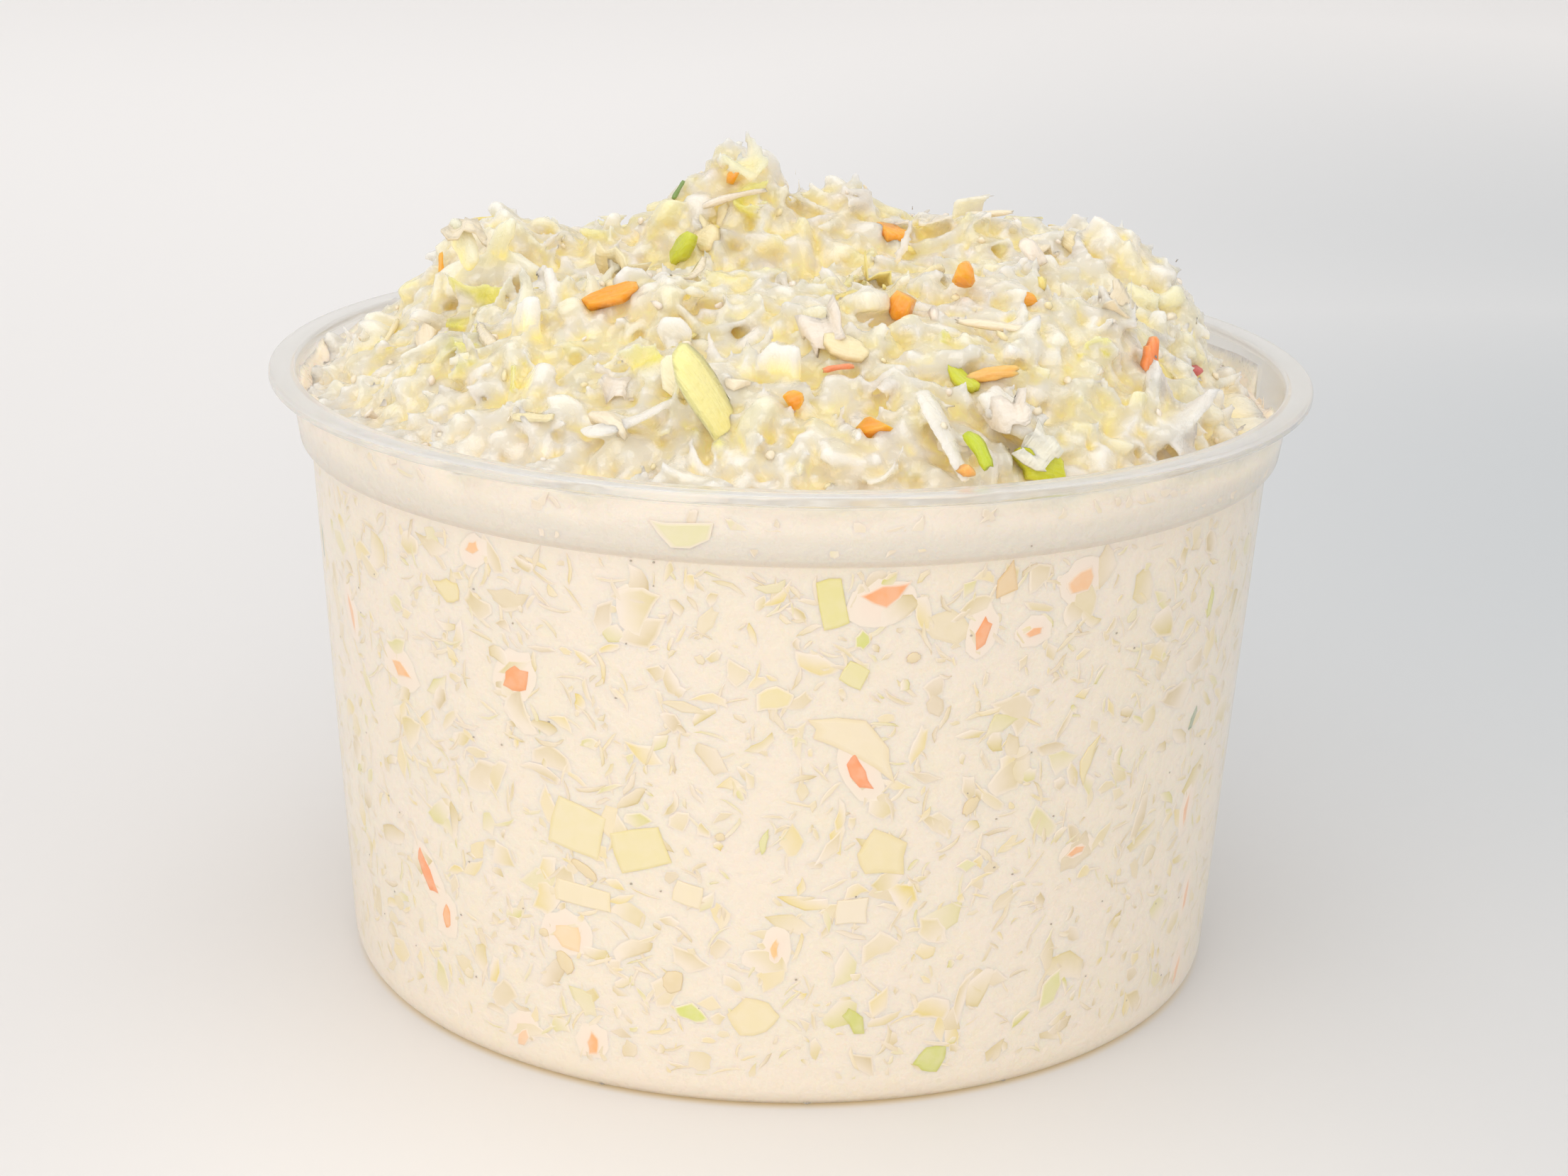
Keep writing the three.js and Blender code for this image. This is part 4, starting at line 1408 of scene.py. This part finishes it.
class MakeDressing(bpy.types.Operator):
    """Fills the cup with dressing up to the heap, a little way into the wall"""

    bl_idname = "coleslaw.dressing"
    bl_label = "Dressing"

    def execute(self, context):
        cup, slaw = context.scene.coleslaw_cup, context.scene.coleslaw_slaw
        outline, edge, lid = dressing_outline(cup)
        bm = spun(outline, DRESSING_SEGMENTS, FORM_JOIN)
        bmesh.ops.recalc_face_normals(bm, faces=bm.faces[:])
        mesh = to_mesh(bm, "dressing")
        points = read(mesh.vertices, "co", 3)
        x, y = points[:, 0], points[:, 1]
        on_top = points[:, 2] > lid - LID_MARGIN
        inward = np.clip((edge - np.hypot(x, y)) / DRESSING_EDGE, 0, 1)
        points[:, 2] = np.where(on_top, dressing_top(x, y, inward), points[:, 2])
        mesh.vertices.foreach_set("co", (points * MM).ravel())
        set_tints(mesh, dressing_tints(points, on_top, inward, slaw))
        mesh.materials.append(dressing_material(slaw))
        mesh.update()
        dress(bpy.data.objects.new("dressing", mesh), "coleslaw", "coleslaw")
        return {"FINISHED"}


class WallBits:
    """Bits pressed to the inside of the wall, in one batch for each mesh that they make up."""

    def __init__(self, cup, rng):
        self.cup, self.rng = cup, rng
        corners = (4, 5, 5, 6, 6, 7)
        self.forms = {
            "flake": [chip_form(rng, sides, 0.6, 1.25) for sides in corners for _ in range(8)],
            "square": [squared(chip_form(rng, 4, 0.92, 1.1, 0.06)) for _ in range(6)],
            "strip": [chip_form(rng, 5, 0.85, 1.1, 0.16) for _ in range(12)],
            "oval": [chip_form(rng, 9, 0.99, 1.01, 0.06) for _ in range(3)],
            "cloud": [chip_form(rng, 8, 0.85, 1.15, 0.3) for _ in range(6)],
        }
        pieces = ("chips", "slivers", "carrot", "green", "bubbles")
        self.batches = {piece: Batch() for piece in pieces}

    def press(self, piece, form, angle, height, size, turn, cover, crisp, tone, fade=0.0, bite=0.0):
        """Lays one bit on the wall, clear of the ledge, the foot and the slaw's edge."""
        rng, forms = self.rng, self.forms[form]
        shape = forms[rng.integers(len(forms))]
        sway = rng.uniform(-CHIP_SWAY, CHIP_SWAY) if form in ("strip", "flake") else 0.0
        low, high = WALL_SPAN if height < LEDGE_HEIGHT else BAND_SPAN
        if height > LEDGE_HEIGHT:
            at = EDGE_RADIUS * math.cos(angle), EDGE_RADIUS * math.sin(angle)
            high = min(high, max(float(slaw_height(*at)) - 0.5, low + 1.2))
        reach = min(size[0], high - low) / 2
        height = np.clip(height, low + reach, high - reach)
        points = on_wall(
            self.cup, shape, angle, height, (*size, CHIP_THICKNESS), turn, CHIP_BITE + bite, sway
        )
        tints = press_tints(shape.points, tone, cover, crisp, rng, fade)
        self.batches[piece].add(points, shape.faces, tints, shape.points[:, :2] * size)

    def scatter_chips(self, total):
        """Chips of cabbage all over the wall under the ledge."""
        rng, (low, high) = self.rng, SPREAD_SPAN
        for number in range(total):
            height = low + (high - low) * ((number + rng.uniform()) / total)
            angle = number * GOLDEN_ANGLE + rng.uniform(-0.1, 0.1)
            length = CHIP_SHORTEST + CHIP_LONGER * rng.uniform() ** CHIP_FEW_LONG
            size = (length, length * rng.uniform(*CHIP_WIDTH_SHARES))
            crisp = rng.uniform() < CRISP_CHIPS
            self.press(
                "chips", "flake", angle, height, size, any_turn(rng), rng.uniform(*CHIP_COVER),
                crisp, palette_draw(rng, WALL_TONES, 0.0), rng.uniform(0, 1.0),
                rng.uniform(*CHIP_DEPTH),
            )

    def scatter_band_chips(self, total):
        """Faint chips behind the hazy band."""
        rng = self.rng
        for _ in range(total):
            size = drawn_size(rng, BAND_CHIP_SIZE)
            self.press(
                "chips", "flake", any_turn(rng), rng.uniform(*BAND_SPAN), size, any_turn(rng),
                rng.uniform(*BAND_CHIP_COVER), False, palette_draw(rng, WALL_TONES, 0.0), 0.4,
            )

    def scatter_slivers(self, total):
        """Fine slivers, every second one with a crisp edge."""
        rng = self.rng
        for number in range(total):
            size = drawn_size(rng, SLIVER_SIZE)
            self.press(
                "slivers", "strip", any_turn(rng), rng.uniform(*SPREAD_SPAN), size, any_turn(rng),
                rng.uniform(*SLIVER_COVER), bool(number % 2), palette_draw(rng, WALL_TONES, 0.4),
                0.4, rng.uniform(*SLIVER_DEPTH),
            )

    def scatter_specks(self, total):
        """Dark specks, in the mesh of the slivers."""
        rng = self.rng
        for _ in range(total):
            size = drawn_size(rng, SPECK_SIZE)
            self.press(
                "slivers", "oval", any_turn(rng), rng.uniform(*SPECK_HEIGHTS), size, 0.0,
                SPECK_COVER, True, SPECK, 0.0, SPECK_DEPTH,
            )

    def scatter_behind(self, total):
        """Bits of carrot and green by turns, on the back of the wall."""
        rng = self.rng
        for number in range(total):
            angle, height = rng.uniform(*BEHIND_ANGLES), rng.uniform(*BEHIND_HEIGHTS)
            carrot = number % 2
            size = drawn_size(rng, BEHIND_SIZE)
            turn, cover = any_turn(rng), rng.uniform(*BEHIND_COVER)
            if carrot:
                # The carrot's painted halo of scattered light.
                halo = (size[0] + BEHIND_HALO, size[1] + BEHIND_HALO)
                self.press("carrot", "cloud", angle, height, halo, turn, HALO_COVER, False, HALO)
            self.press(
                "carrot" if carrot else "green", "strip", angle, height, size, turn, cover,
                number % 3 == 0, WALL_CARROT if carrot else WALL_GREEN, 0.3, BEHIND_DEPTH,
            )

    def set_marks(self):
        """The bits that stand out, each where it shows."""
        for mark in WALL_MARKS:
            angle, height = pixel_on_wall(self.cup, mark.pixel)
            size, turn = (mark.length, mark.width), math.radians(mark.turn)
            if mark.piece == "carrot":
                # The carrot's painted halo of scattered light.
                halo = (mark.length + HALO_EXTRA, mark.width + HALO_EXTRA)
                self.press(
                    "carrot", "cloud", angle, height, halo, turn, HALO_COVER, False, HALO,
                    0.0, HALO_DEPTH,
                )
            bite = STANDOUT_BITE if height < LEDGE_HEIGHT else BAND_BITE
            self.press(
                mark.piece, mark.form, angle, height, size, turn, mark.cover, mark.crisp,
                mark.tone, 0.0, bite,
            )


class MakeWallPieces(bpy.types.Operator):
    """Presses chips, slivers, carrot, greens and bubbles to the inside of the wall"""

    bl_idname = "coleslaw.wall_pieces"
    bl_label = "Pieces at the wall"

    def execute(self, context):
        cup, slaw = context.scene.coleslaw_cup, context.scene.coleslaw_slaw
        bits = WallBits(cup, np.random.default_rng(slaw.seed))
        bits.scatter_chips(slaw.wall_chips)
        bits.scatter_band_chips(slaw.band_chips)
        bits.scatter_slivers(slaw.wall_slivers)
        bits.scatter_specks(slaw.specks)
        bits.scatter_behind(slaw.hidden_bits)
        bits.set_marks()
        for piece, batch in bits.batches.items():
            rough = BUBBLE_ROUGHNESS if piece == "bubbles" else BIT_ROUGHNESS
            finish = pressed_material("Pressed " + piece, slaw, rough)
            batch.build("wall_" + piece, finish, smooth=piece == "bubbles")
        return {"FINISHED"}


# How the bound cabbage is coloured: plain pieces turn milky away from the top of the heap,
# crevices get a painted warm shade and a painted glow, standing in for light that passes through
# the wet cabbage, and the brim is wet. Places, spans and depths are in millimetres, and shares go
# from 0 to 1; pieces are plain from this share of blue to red up.
TONE_ROUNDS, HOLLOW_ROUNDS = 1, 14
PLAIN_FROM, PLAIN_SPAN = 0.24, 0.1
HEAP_MIDDLE, OUTER_FROM, OUTER_SPAN, OUTER_SHARE = -4.0, 14.0, 18.0, 0.5
HOLLOW_DEPTH, CREVICE_SHARE, SLAB_CREVICE = 0.75, 0.9, 0.6
BRIM_FROM, BRIM_SPAN, BRIM_SHARE = 47.0, 6.0, 0.8

# How its skin is smoothed, and how much higher its own standout pieces are set, in millimetres.
SMOOTH_ROUNDS, SMOOTH_FACTOR = 2, 0.45
SUNK_LIFT = 0.6

# The shares of flakes, ribs, shreds, leaves and slivers in the bound cabbage.
KIND_SHARES = (0.34, 0.24, 0.2, 0.12, 0.1)


def coated_pieces(rng, slaw):
    """Cabbage of every kind laid on the slab inside the heap, before it is bound together."""
    source = Batch()
    slab = heap_slab(slaw)
    source.add(*slab)
    ground = Ground(BVHTree.FromPolygons((slab[0] * MM).tolist(), slab[1].tolist()))
    kinds = (
        Kind("flakes", [flake_form(rng, int(rng.integers(4, 8))) for _ in range(30)],
             (3.2, 8.5), (2.8, 5.6), (1.4, 2.4), 38, (-0.9, 0.4), 0.1, PALE),
        Kind("ribs", [rib_form(rng, int(rng.integers(3, 6))) for _ in range(30)],
             (2.8, 6.0), (2.4, 4.6), (1.9, 3.1), 38, (-1.0, 0.3), 0.05, PALE),
        Kind("shreds", [shred_form(rng) for _ in range(16)],
             (4.0, 10.0), (1.4, 3.0), (1.3, 2.2), 32, (-0.6, 0.5), 0.12, PALE),
        Kind("leaves", [frill_form(rng) for _ in range(20)],
             (3.5, 7.5), (2.8, 5.5), (1.8, 3.2), 50, (-0.5, 0.6), 0.1, LEAFY),
        Kind("slivers", [shred_form(rng, 4, 5) for _ in range(16)],
             (2.0, 4.6), (1.1, 1.8), (0.9, 1.4), 60, (0.1, 0.9), 0.1, PALE),
    )
    for kind, share in zip(kinds, KIND_SHARES):
        scatter(rng, source, kind, int(slaw.coated * share), ground)
    for mark in HEAP_MARKS:
        if mark.kind == "cabbage":
            set_mark(rng, source, ground, mark._replace(lift=mark.lift + SUNK_LIFT))
    return source


def nearest_points(points, places):
    """Which of the points lies nearest to each place."""
    tree = KDTree(len(points))
    for number, point in enumerate(points):
        tree.insert(point, number)
    tree.balance()
    return np.array([tree.find(place)[1] for place in places])


def bound_tones(tints, places, edges, slaw):
    """Colours of the bound cabbage, with painted warm shade in its hollows; alpha holds how much of
    it each point has, which also sets the painted glow.
    """
    tone = blurred(tints, edges, TONE_ROUNDS)
    plain = np.clip((tone[:, 2] / tone[:, 0] - PLAIN_FROM) / PLAIN_SPAN, 0, 1)
    from_top = np.hypot(places[:, 0] - HEAP_MIDDLE, places[:, 1])
    outer = np.clip((from_top - OUTER_FROM) / OUTER_SPAN, 0, 1)
    lean_to(tone, MILKY, OUTER_SHARE * outer * plain)
    # Painted shade and glow: hollows lean to the warm shade colour, and how deep they lie sets the
    # painted glow in alpha.
    hollow = blurred(places, edges, HOLLOW_ROUNDS)[:, 2] - places[:, 2]
    deep = np.clip(hollow / HOLLOW_DEPTH, 0, 1) * CREVICE_SHARE
    lean_to(tone, slaw.crevice_shade, deep)
    tone[:, 3] = deep
    brim = np.clip((np.hypot(places[:, 0], places[:, 1]) - BRIM_FROM) / BRIM_SPAN, 0, 1)
    lean_to(tone, slaw.brim, brim * BRIM_SHARE)
    return tone


class MakeMass(bpy.types.Operator):
    """Binds chopped cabbage and dressing into the rough wet mass of the heap"""

    bl_idname = "coleslaw.mass"
    bl_label = "Bound cabbage"

    def execute(self, context):
        slaw = context.scene.coleslaw_slaw
        arrays = coated_pieces(np.random.default_rng(slaw.seed + 1), slaw).arrays()
        points, _, tints, grain = arrays
        bound = bound_mesh(context, arrays)
        places = read(bound.vertices, "co", 3) / MM
        nearest = nearest_points(points, places)
        edges = read(bound.edges, "vertices", 2, np.int32)
        mass = finish_mesh(
            "cabbage_mass", places, read(bound.polygons, "vertices", 3, np.int32),
            bound_tones(tints[nearest], places, edges, slaw), grain[nearest],
            chopped_material("Bound cabbage", 1.0, 0.0, 1.0, 0.004, slaw.inner),
        )
        dress(mass, "coleslaw", "coleslaw")
        return {"FINISHED"}


def lean_to(tone, colour_value, share):
    """Moves each point's colour towards another by its share."""
    share = share[:, None]
    tone[:, :3] = tone[:, :3] * (1 - share) + np.array(colour_value) * share


def bound_mesh(context, arrays):
    """Joined pieces grown together into one skin, cut off at its floor, smoothed and thinned."""
    rough = finish_mesh("rough", *arrays, None)
    context.scene.collection.objects.link(rough)
    remesh = rough.modifiers.new("Bind", "REMESH")
    remesh.mode, remesh.voxel_size = "VOXEL", VOXEL * MM
    bound = applied(context, rough)
    bm = bmesh.new()
    bm.from_mesh(bound)
    cut_off(bm, (0, 0, MASS_FLOOR * MM), (0, 0, -1), METRE_JOIN)
    above = [v for v in bm.verts if v.co.z > (MASS_FLOOR + 1) * MM]
    for _ in range(SMOOTH_ROUNDS):
        bmesh.ops.smooth_vert(
            bm, verts=above, factor=SMOOTH_FACTOR,
            use_axis_x=True, use_axis_y=True, use_axis_z=True,
        )
    bmesh.ops.triangulate(bm, faces=bm.faces[:])
    bm.to_mesh(bound)
    bm.free()
    holder = bpy.data.objects.new("thinned", bound)
    context.scene.collection.objects.link(holder)
    thin = holder.modifiers.new("Thin", "DECIMATE")
    thin.ratio = min(1.0, MASS_TRIANGLES / len(bound.polygons))
    thin.use_collapse_triangulate = True
    return applied(context, holder)


def applied(context, holder):
    """The mesh that an object's modifiers make; the object is removed."""
    shown = holder.evaluated_get(context.evaluated_depsgraph_get())
    mesh = bpy.data.meshes.new_from_object(shown)
    bpy.data.objects.remove(holder)
    return mesh


def blurred(values, edges, rounds):
    """Each point's values averaged with its neighbours', so many rounds."""
    degree = np.bincount(edges.ravel(), minlength=len(values))[:, None] + 1.0
    for _ in range(rounds):
        total = values.copy()
        for column in range(values.shape[1]):
            total[:, column] += np.bincount(edges[:, 0], values[edges[:, 1], column], len(values))
            total[:, column] += np.bincount(edges[:, 1], values[edges[:, 0], column], len(values))
        values = total / degree
    return values


def heap_slab(slaw):
    """The inside of the heap as a closed slab under its clumped top, with its tints and grain."""
    outline = [(0.0, SLAB_BOTTOM), (HEAP_REACH - 1.8, SLAB_BOTTOM), (HEAP_REACH - 1.2, MASS_FLOOR)]
    radii = np.linspace(HEAP_REACH + 0.4, 0, SLAB_RINGS)
    outline += [(float(radius), SLAB_LID) for radius in radii]
    form = to_form(spun(outline, SLAB_SEGMENTS, FORM_JOIN))
    points = form.points.copy()
    top = points[:, 2] > SLAB_LID - LID_MARGIN
    level = clumped_height(points[:, 0], points[:, 1]) - SLAB_SINK
    points[:, 2] = np.where(top, level, points[:, 2])
    tints = np.ones((len(points), 4))
    tints[:, :3] = np.array(BUTTER)
    # Painted shade: the slab, seen in the gaps between the pieces, leans to the warm colour of the
    # hollows.
    lean_to(tints, slaw.crevice_shade, np.full(len(points), SLAB_CREVICE))
    return points, form.faces, tints, points[:, :2].copy()


class MakeHeap(bpy.types.Operator):
    """Lays loose chopped cabbage on the heap: flakes, ribs, shreds, leaves and crumbs"""

    bl_idname = "coleslaw.heap"
    bl_label = "Loose cabbage"

    def execute(self, context):
        slaw = context.scene.coleslaw_slaw
        rng = np.random.default_rng(slaw.seed + 3)
        ground = finished_ground(context)
        kinds = (
            (slaw.flakes, "Cabbage flake", 0.9, Kind(
                "cabbage_flakes", [flake_form(rng, int(rng.integers(5, 9))) for _ in range(40)],
                (2.6, 7.0), (2.0, 5.0), (0.8, 1.6), 40, (-0.5, 0.2), 0.12, LOOSE)),
            (slaw.ribs, "Cabbage rib", 0.7, Kind(
                "cabbage_ribs", [rib_form(rng, int(rng.integers(3, 6))) for _ in range(40)],
                (2.2, 5.0), (1.8, 3.6), (1.2, 2.6), 40, (-0.8, 0.0), 0.05, LOOSE)),
            (slaw.shreds, "Cabbage shred", 1.6, Kind(
                "cabbage_shreds", [shred_form(rng) for _ in range(24)],
                (3.5, 9.0), (1.0, 2.4), (0.7, 1.3), 26, (-0.4, 0.2), 0.14, LOOSE)),
            (slaw.leaves, "Cabbage leaf", 0.8, Kind(
                "cabbage_leaves", [frill_form(rng) for _ in range(24)],
                (3.0, 6.0), (2.4, 4.4), (1.2, 2.2), 45, (-0.4, 0.2), 0.1, LOOSE)),
            (slaw.crumbs, "Cabbage crumb", 0.8, Kind(
                "cabbage_crumbs", [crumb_form(rng) for _ in range(16)],
                (0.7, 2.0), (0.5, 1.4), (0.4, 1.0), 60, (-0.1, 0.2), 0.0, LOOSE)),
        )
        for number, finish, fibres, kind in kinds:
            batch = Batch()
            scatter(rng, batch, kind, number, ground)
            batch.build(kind.piece, chopped_material(finish, fibres, 0.0, 0.25, 0.0008))
        return {"FINISHED"}


# The few carrot and green bits at the back of the heap: how far from due right and left they
# begin, in radians, how far out they lie and how large they are, in millimetres, and how many.
HIDDEN_FROM = 0.45
HIDDEN_REACH = 50
HIDDEN_SIZE = ((2.5, 6.5), (1.6, 3.0), (1.4, 2.4))
HIDDEN_CARROT, HIDDEN_GREENS = 16, 10
HEAP_GREEN = srgb(206, 212, 60)


class MakeMarks(bpy.types.Operator):
    """Sets the carrot, green and pale pieces that stand out on the heap"""

    bl_idname = "coleslaw.marks"
    bl_label = "Standout pieces"

    def execute(self, context):
        slaw = context.scene.coleslaw_slaw
        rng = np.random.default_rng(slaw.seed + 2)
        groups = {"carrot": Batch(), "greens": Batch()}
        ground = finished_ground(context)
        for mark in HEAP_MARKS:
            if mark.kind in groups:
                set_mark(rng, groups[mark.kind], ground, mark)
        hidden = ((CARROT, "carrot", HIDDEN_CARROT), (HEAP_GREEN, "greens", HIDDEN_GREENS))
        for tone, group, number in hidden:
            for _ in range(number):
                angle = rng.uniform(HIDDEN_FROM, math.pi - HIDDEN_FROM)
                reach = HIDDEN_REACH * math.sqrt(rng.uniform(0.2, 1))
                form = (rib_form, shred_form)[int(rng.integers(2))](rng)
                size = drawn_size(rng, HIDDEN_SIZE)
                place, normal = ground.under(reach * math.cos(angle), reach * math.sin(angle))
                points, grain = set_down(
                    form, place, normal, size, any_turn(rng), rng.uniform(0, 0.5), 0.05
                )
                tints = np.tile((*tone, 1.0), (len(points), 1))
                groups[group].add(points, form.faces, tints, grain)
        carrot = chopped_material("Carrot", 1.2, 0.05, 0.8, 0.0012)
        groups["carrot"].build("heap_carrot", carrot)
        leaf = chopped_material("Green leaf", 1.2, 0.0, 0.5, 0.0006)
        groups["greens"].build("heap_greens", leaf)
        return {"FINISHED"}


# The stage, in metres: the floor's half size and middle, and the bend up to the backdrop.
FLOOR_HALF_SIZE = (4.0, 2.0, 1.0)
FLOOR_MIDDLE = (0, -0.7, 0)
BEND_RADIUS, BEND_STEPS = 0.6, 12
BACKDROP_HEIGHT = 2.0

# Where the floor's painted light and shade lie, in metres: a pool of light in front, the cup's
# shadow at the right, how strongly that shadow reaches behind, and the warm contact line round the
# foot.
FRONT_LIGHT_PATCH = (0.0, -0.07, 0.0)
SHADE_PATCH = (0.27, 0.16)
SHADE_DEPTH = 0.8
FOOT_GLOW_INSIDE, FOOT_GLOW_OUTSIDE = 0.0486, 0.0504

# The lights: name, width in metres, place in metres and colour. They aim at the cup's middle.
LIGHTS = (
    ("key", 1.5, (-0.36, -1.05, 0.72), (1.0, 0.985, 0.96)),
    ("fill", 0.8, (0.95, -0.5, 0.5), (0.94, 0.97, 1.0)),
    ("top", 0.9, (0.0, 0.15, 1.1), (1.0, 1.0, 1.0)),
)
LIGHT_AIM = (0, 0, 0.05)
ROOM_COLOUR = (1.0, 0.99, 0.98, 1.0)

# The nearest that the camera sees, in metres.
NEAREST_SEEN = 0.01


def floor_mesh():
    """A floor that bends up into a backdrop behind the cup."""
    bm = bmesh.new()
    bmesh.ops.create_grid(bm, x_segments=2, y_segments=2, size=1.0)
    bmesh.ops.scale(bm, vec=FLOOR_HALF_SIZE, verts=bm.verts[:])
    bmesh.ops.translate(bm, vec=FLOOR_MIDDLE, verts=bm.verts[:])
    edges = [e for e in bm.edges if all(v.co.y > 1.2 for v in e.verts)]
    step_angle = math.radians(90) / BEND_STEPS
    moves = [
        (0, math.cos(step * step_angle), math.sin(step * step_angle))
        for step in range(1, BEND_STEPS + 1)
    ]
    moves = [Vector(move) * BEND_RADIUS * step_angle for move in moves]
    for move in (*moves, Vector((0, 0, BACKDROP_HEIGHT))):
        made = bmesh.ops.extrude_edge_only(bm, edges=edges)["geom"]
        bmesh.ops.translate(bm, vec=move, verts=verts_of(made))
        edges = edges_of(made)
    bmesh.ops.recalc_face_normals(bm, faces=bm.faces[:])
    return to_mesh(bm, "studio_floor")


def floor_material(stage):
    """A pale floor with painted light and shade: darker near the cup and paler far off, a painted
    pool of light just in front, the cup's painted shadow dimmer and cooler at the right, and a
    painted warm contact line round the foot.
    """
    material, tree, surface = new_material("Studio floor")
    place = object_place(tree)
    spot = add(tree, "SeparateXYZ", {0: place}).outputs
    away = ranged(tree, spot["Y"], -0.1, 0.8)
    plain = mixed(tree, away, rgba(stage.floor), rgba(stage.far_floor))
    # Painted light: a pool of light on the floor just in front of the cup.
    light_pool = ranged(tree, measured(tree, "DISTANCE", place, FRONT_LIGHT_PATCH), 0.02, 0.1, 1.0, 0.0)
    plain = mixed(tree, light_pool, plain, rgba(stage.lit_front_floor))
    # Painted shadow: the cup's soft shadow at its right, drawn out behind, and shade that deepens
    # further to the right.
    dim = 0.0
    for stretch, behind in ((1.0, False), (0.45, True)):
        drawn_in = add(tree, "Mapping", {"Vector": place, "Scale": (1.0, stretch, stretch)})
        middle = (SHADE_PATCH[0], SHADE_PATCH[1] * stretch, 0.0)
        from_shade = measured(tree, "DISTANCE", drawn_in.outputs[0], middle)
        patch = ranged(tree, from_shade, 0.08, 0.42, 1.0, 0.0)
        if behind:
            back = ranged(tree, spot["Y"], 0.05, 0.5)
            patch = combined(tree, "MULTIPLY", patch, combined(tree, "MULTIPLY", back, SHADE_DEPTH))
        dim = combined(tree, "MAXIMUM", patch, dim)
    dim = combined(tree, "MAXIMUM", dim, ranged(tree, spot["X"], 0.0, 0.9, 0.0, 0.3))
    lit_and_shaded = mixed(tree, dim, plain, rgba(stage.shade))
    # Painted light and shade: a thin warm contact line round the foot, lit through the slaw.
    from_foot = measured(tree, "LENGTH", place)
    glow = ranged(tree, from_foot, FOOT_GLOW_INSIDE, FOOT_GLOW_OUTSIDE, 0.8, 0.0)
    lit_and_shaded = mixed(tree, glow, lit_and_shaded, rgba(stage.contact))
    shader = add(tree, "BsdfPrincipled", {"Base Color": lit_and_shaded, "Roughness": 0.6})
    tree.links.new(shader.outputs[0], surface)
    return material


def add_lights(scene, stage):
    """Three soft lamps and an even light from all round."""
    for name, size, place, tone in LIGHTS:
        lamp = bpy.data.lights.new(name, "AREA")
        lamp.energy, lamp.size, lamp.color = getattr(stage, name + "_power"), size, tone
        holder = bpy.data.objects.new(name, lamp)
        holder.location = place
        aim = Vector(LIGHT_AIM) - Vector(place)
        holder.rotation_euler = aim.to_track_quat("-Z", "Y").to_euler()
        scene.collection.objects.link(holder)
    world = bpy.data.worlds.new("Studio")
    world.use_nodes = True
    room = world.node_tree.nodes["Background"].inputs
    room["Color"].default_value = ROOM_COLOUR
    room["Strength"].default_value = stage.sky
    scene.world = world
    scene.view_settings.view_transform = "Standard"


def add_camera(scene):
    """The camera that frames the tub."""
    lens = bpy.data.cameras.new("Camera")
    lens.sensor_width = SENSOR_WIDTH
    lens.lens = LENS_PIXELS * SENSOR_WIDTH / PICTURE_WIDTH
    lens.clip_start = NEAREST_SEEN
    camera = bpy.data.objects.new("Camera", lens)
    camera.matrix_world = camera_matrix()
    scene.collection.objects.link(camera)
    scene.camera = camera


class MakeStage(bpy.types.Operator):
    """Sets the pale floor and backdrop, the soft studio lights and the camera"""

    bl_idname = "coleslaw.stage"
    bl_label = "Stage"

    def execute(self, context):
        scene, stage = context.scene, context.scene.coleslaw_stage
        mesh = floor_mesh()
        mesh.materials.append(floor_material(stage))
        floor = bpy.data.objects.new("studio_floor", mesh)
        scene.collection.objects.link(floor)
        add_lights(scene, stage)
        add_camera(scene)
        return {"FINISHED"}


class ColeslawPanel(bpy.types.Panel):
    """Lists the sizes, colours and makers of the tub of coleslaw"""

    bl_idname = "VIEW3D_PT_coleslaw"
    bl_label = "Tub of Coleslaw"
    bl_space_type = "VIEW_3D"
    bl_region_type = "UI"
    bl_category = "Coleslaw"

    def draw(self, context):
        scene, layout = context.scene, self.layout
        for settings in (scene.coleslaw_cup, scene.coleslaw_slaw, scene.coleslaw_stage):
            box = layout.box()
            for name in settings.__annotations__:
                box.prop(settings, name)
        for maker in MAKERS:
            layout.operator(maker.bl_idname)


MAKERS = (MakeCup, MakeDressing, MakeWallPieces, MakeMass, MakeHeap, MakeMarks, MakeStage)
SETTINGS = (CupSettings, SlawSettings, StageSettings)


def register():
    for shown in (*SETTINGS, *MAKERS, ColeslawPanel):
        bpy.utils.register_class(shown)
    bpy.types.Scene.coleslaw_cup = PointerProperty(type=CupSettings)
    bpy.types.Scene.coleslaw_slaw = PointerProperty(type=SlawSettings)
    bpy.types.Scene.coleslaw_stage = PointerProperty(type=StageSettings)


def unregister():
    for name in ("coleslaw_stage", "coleslaw_slaw", "coleslaw_cup"):
        delattr(bpy.types.Scene, name)
    for shown in reversed((*SETTINGS, *MAKERS, ColeslawPanel)):
        bpy.utils.unregister_class(shown)


def main():
    """Runs the makers in order."""
    register()
    bpy.ops.coleslaw.cup()
    bpy.ops.coleslaw.dressing()
    bpy.ops.coleslaw.wall_pieces()
    bpy.ops.coleslaw.mass()
    bpy.ops.coleslaw.heap()
    bpy.ops.coleslaw.marks()
    bpy.ops.coleslaw.stage()


if __name__ == "__main__":
    main()
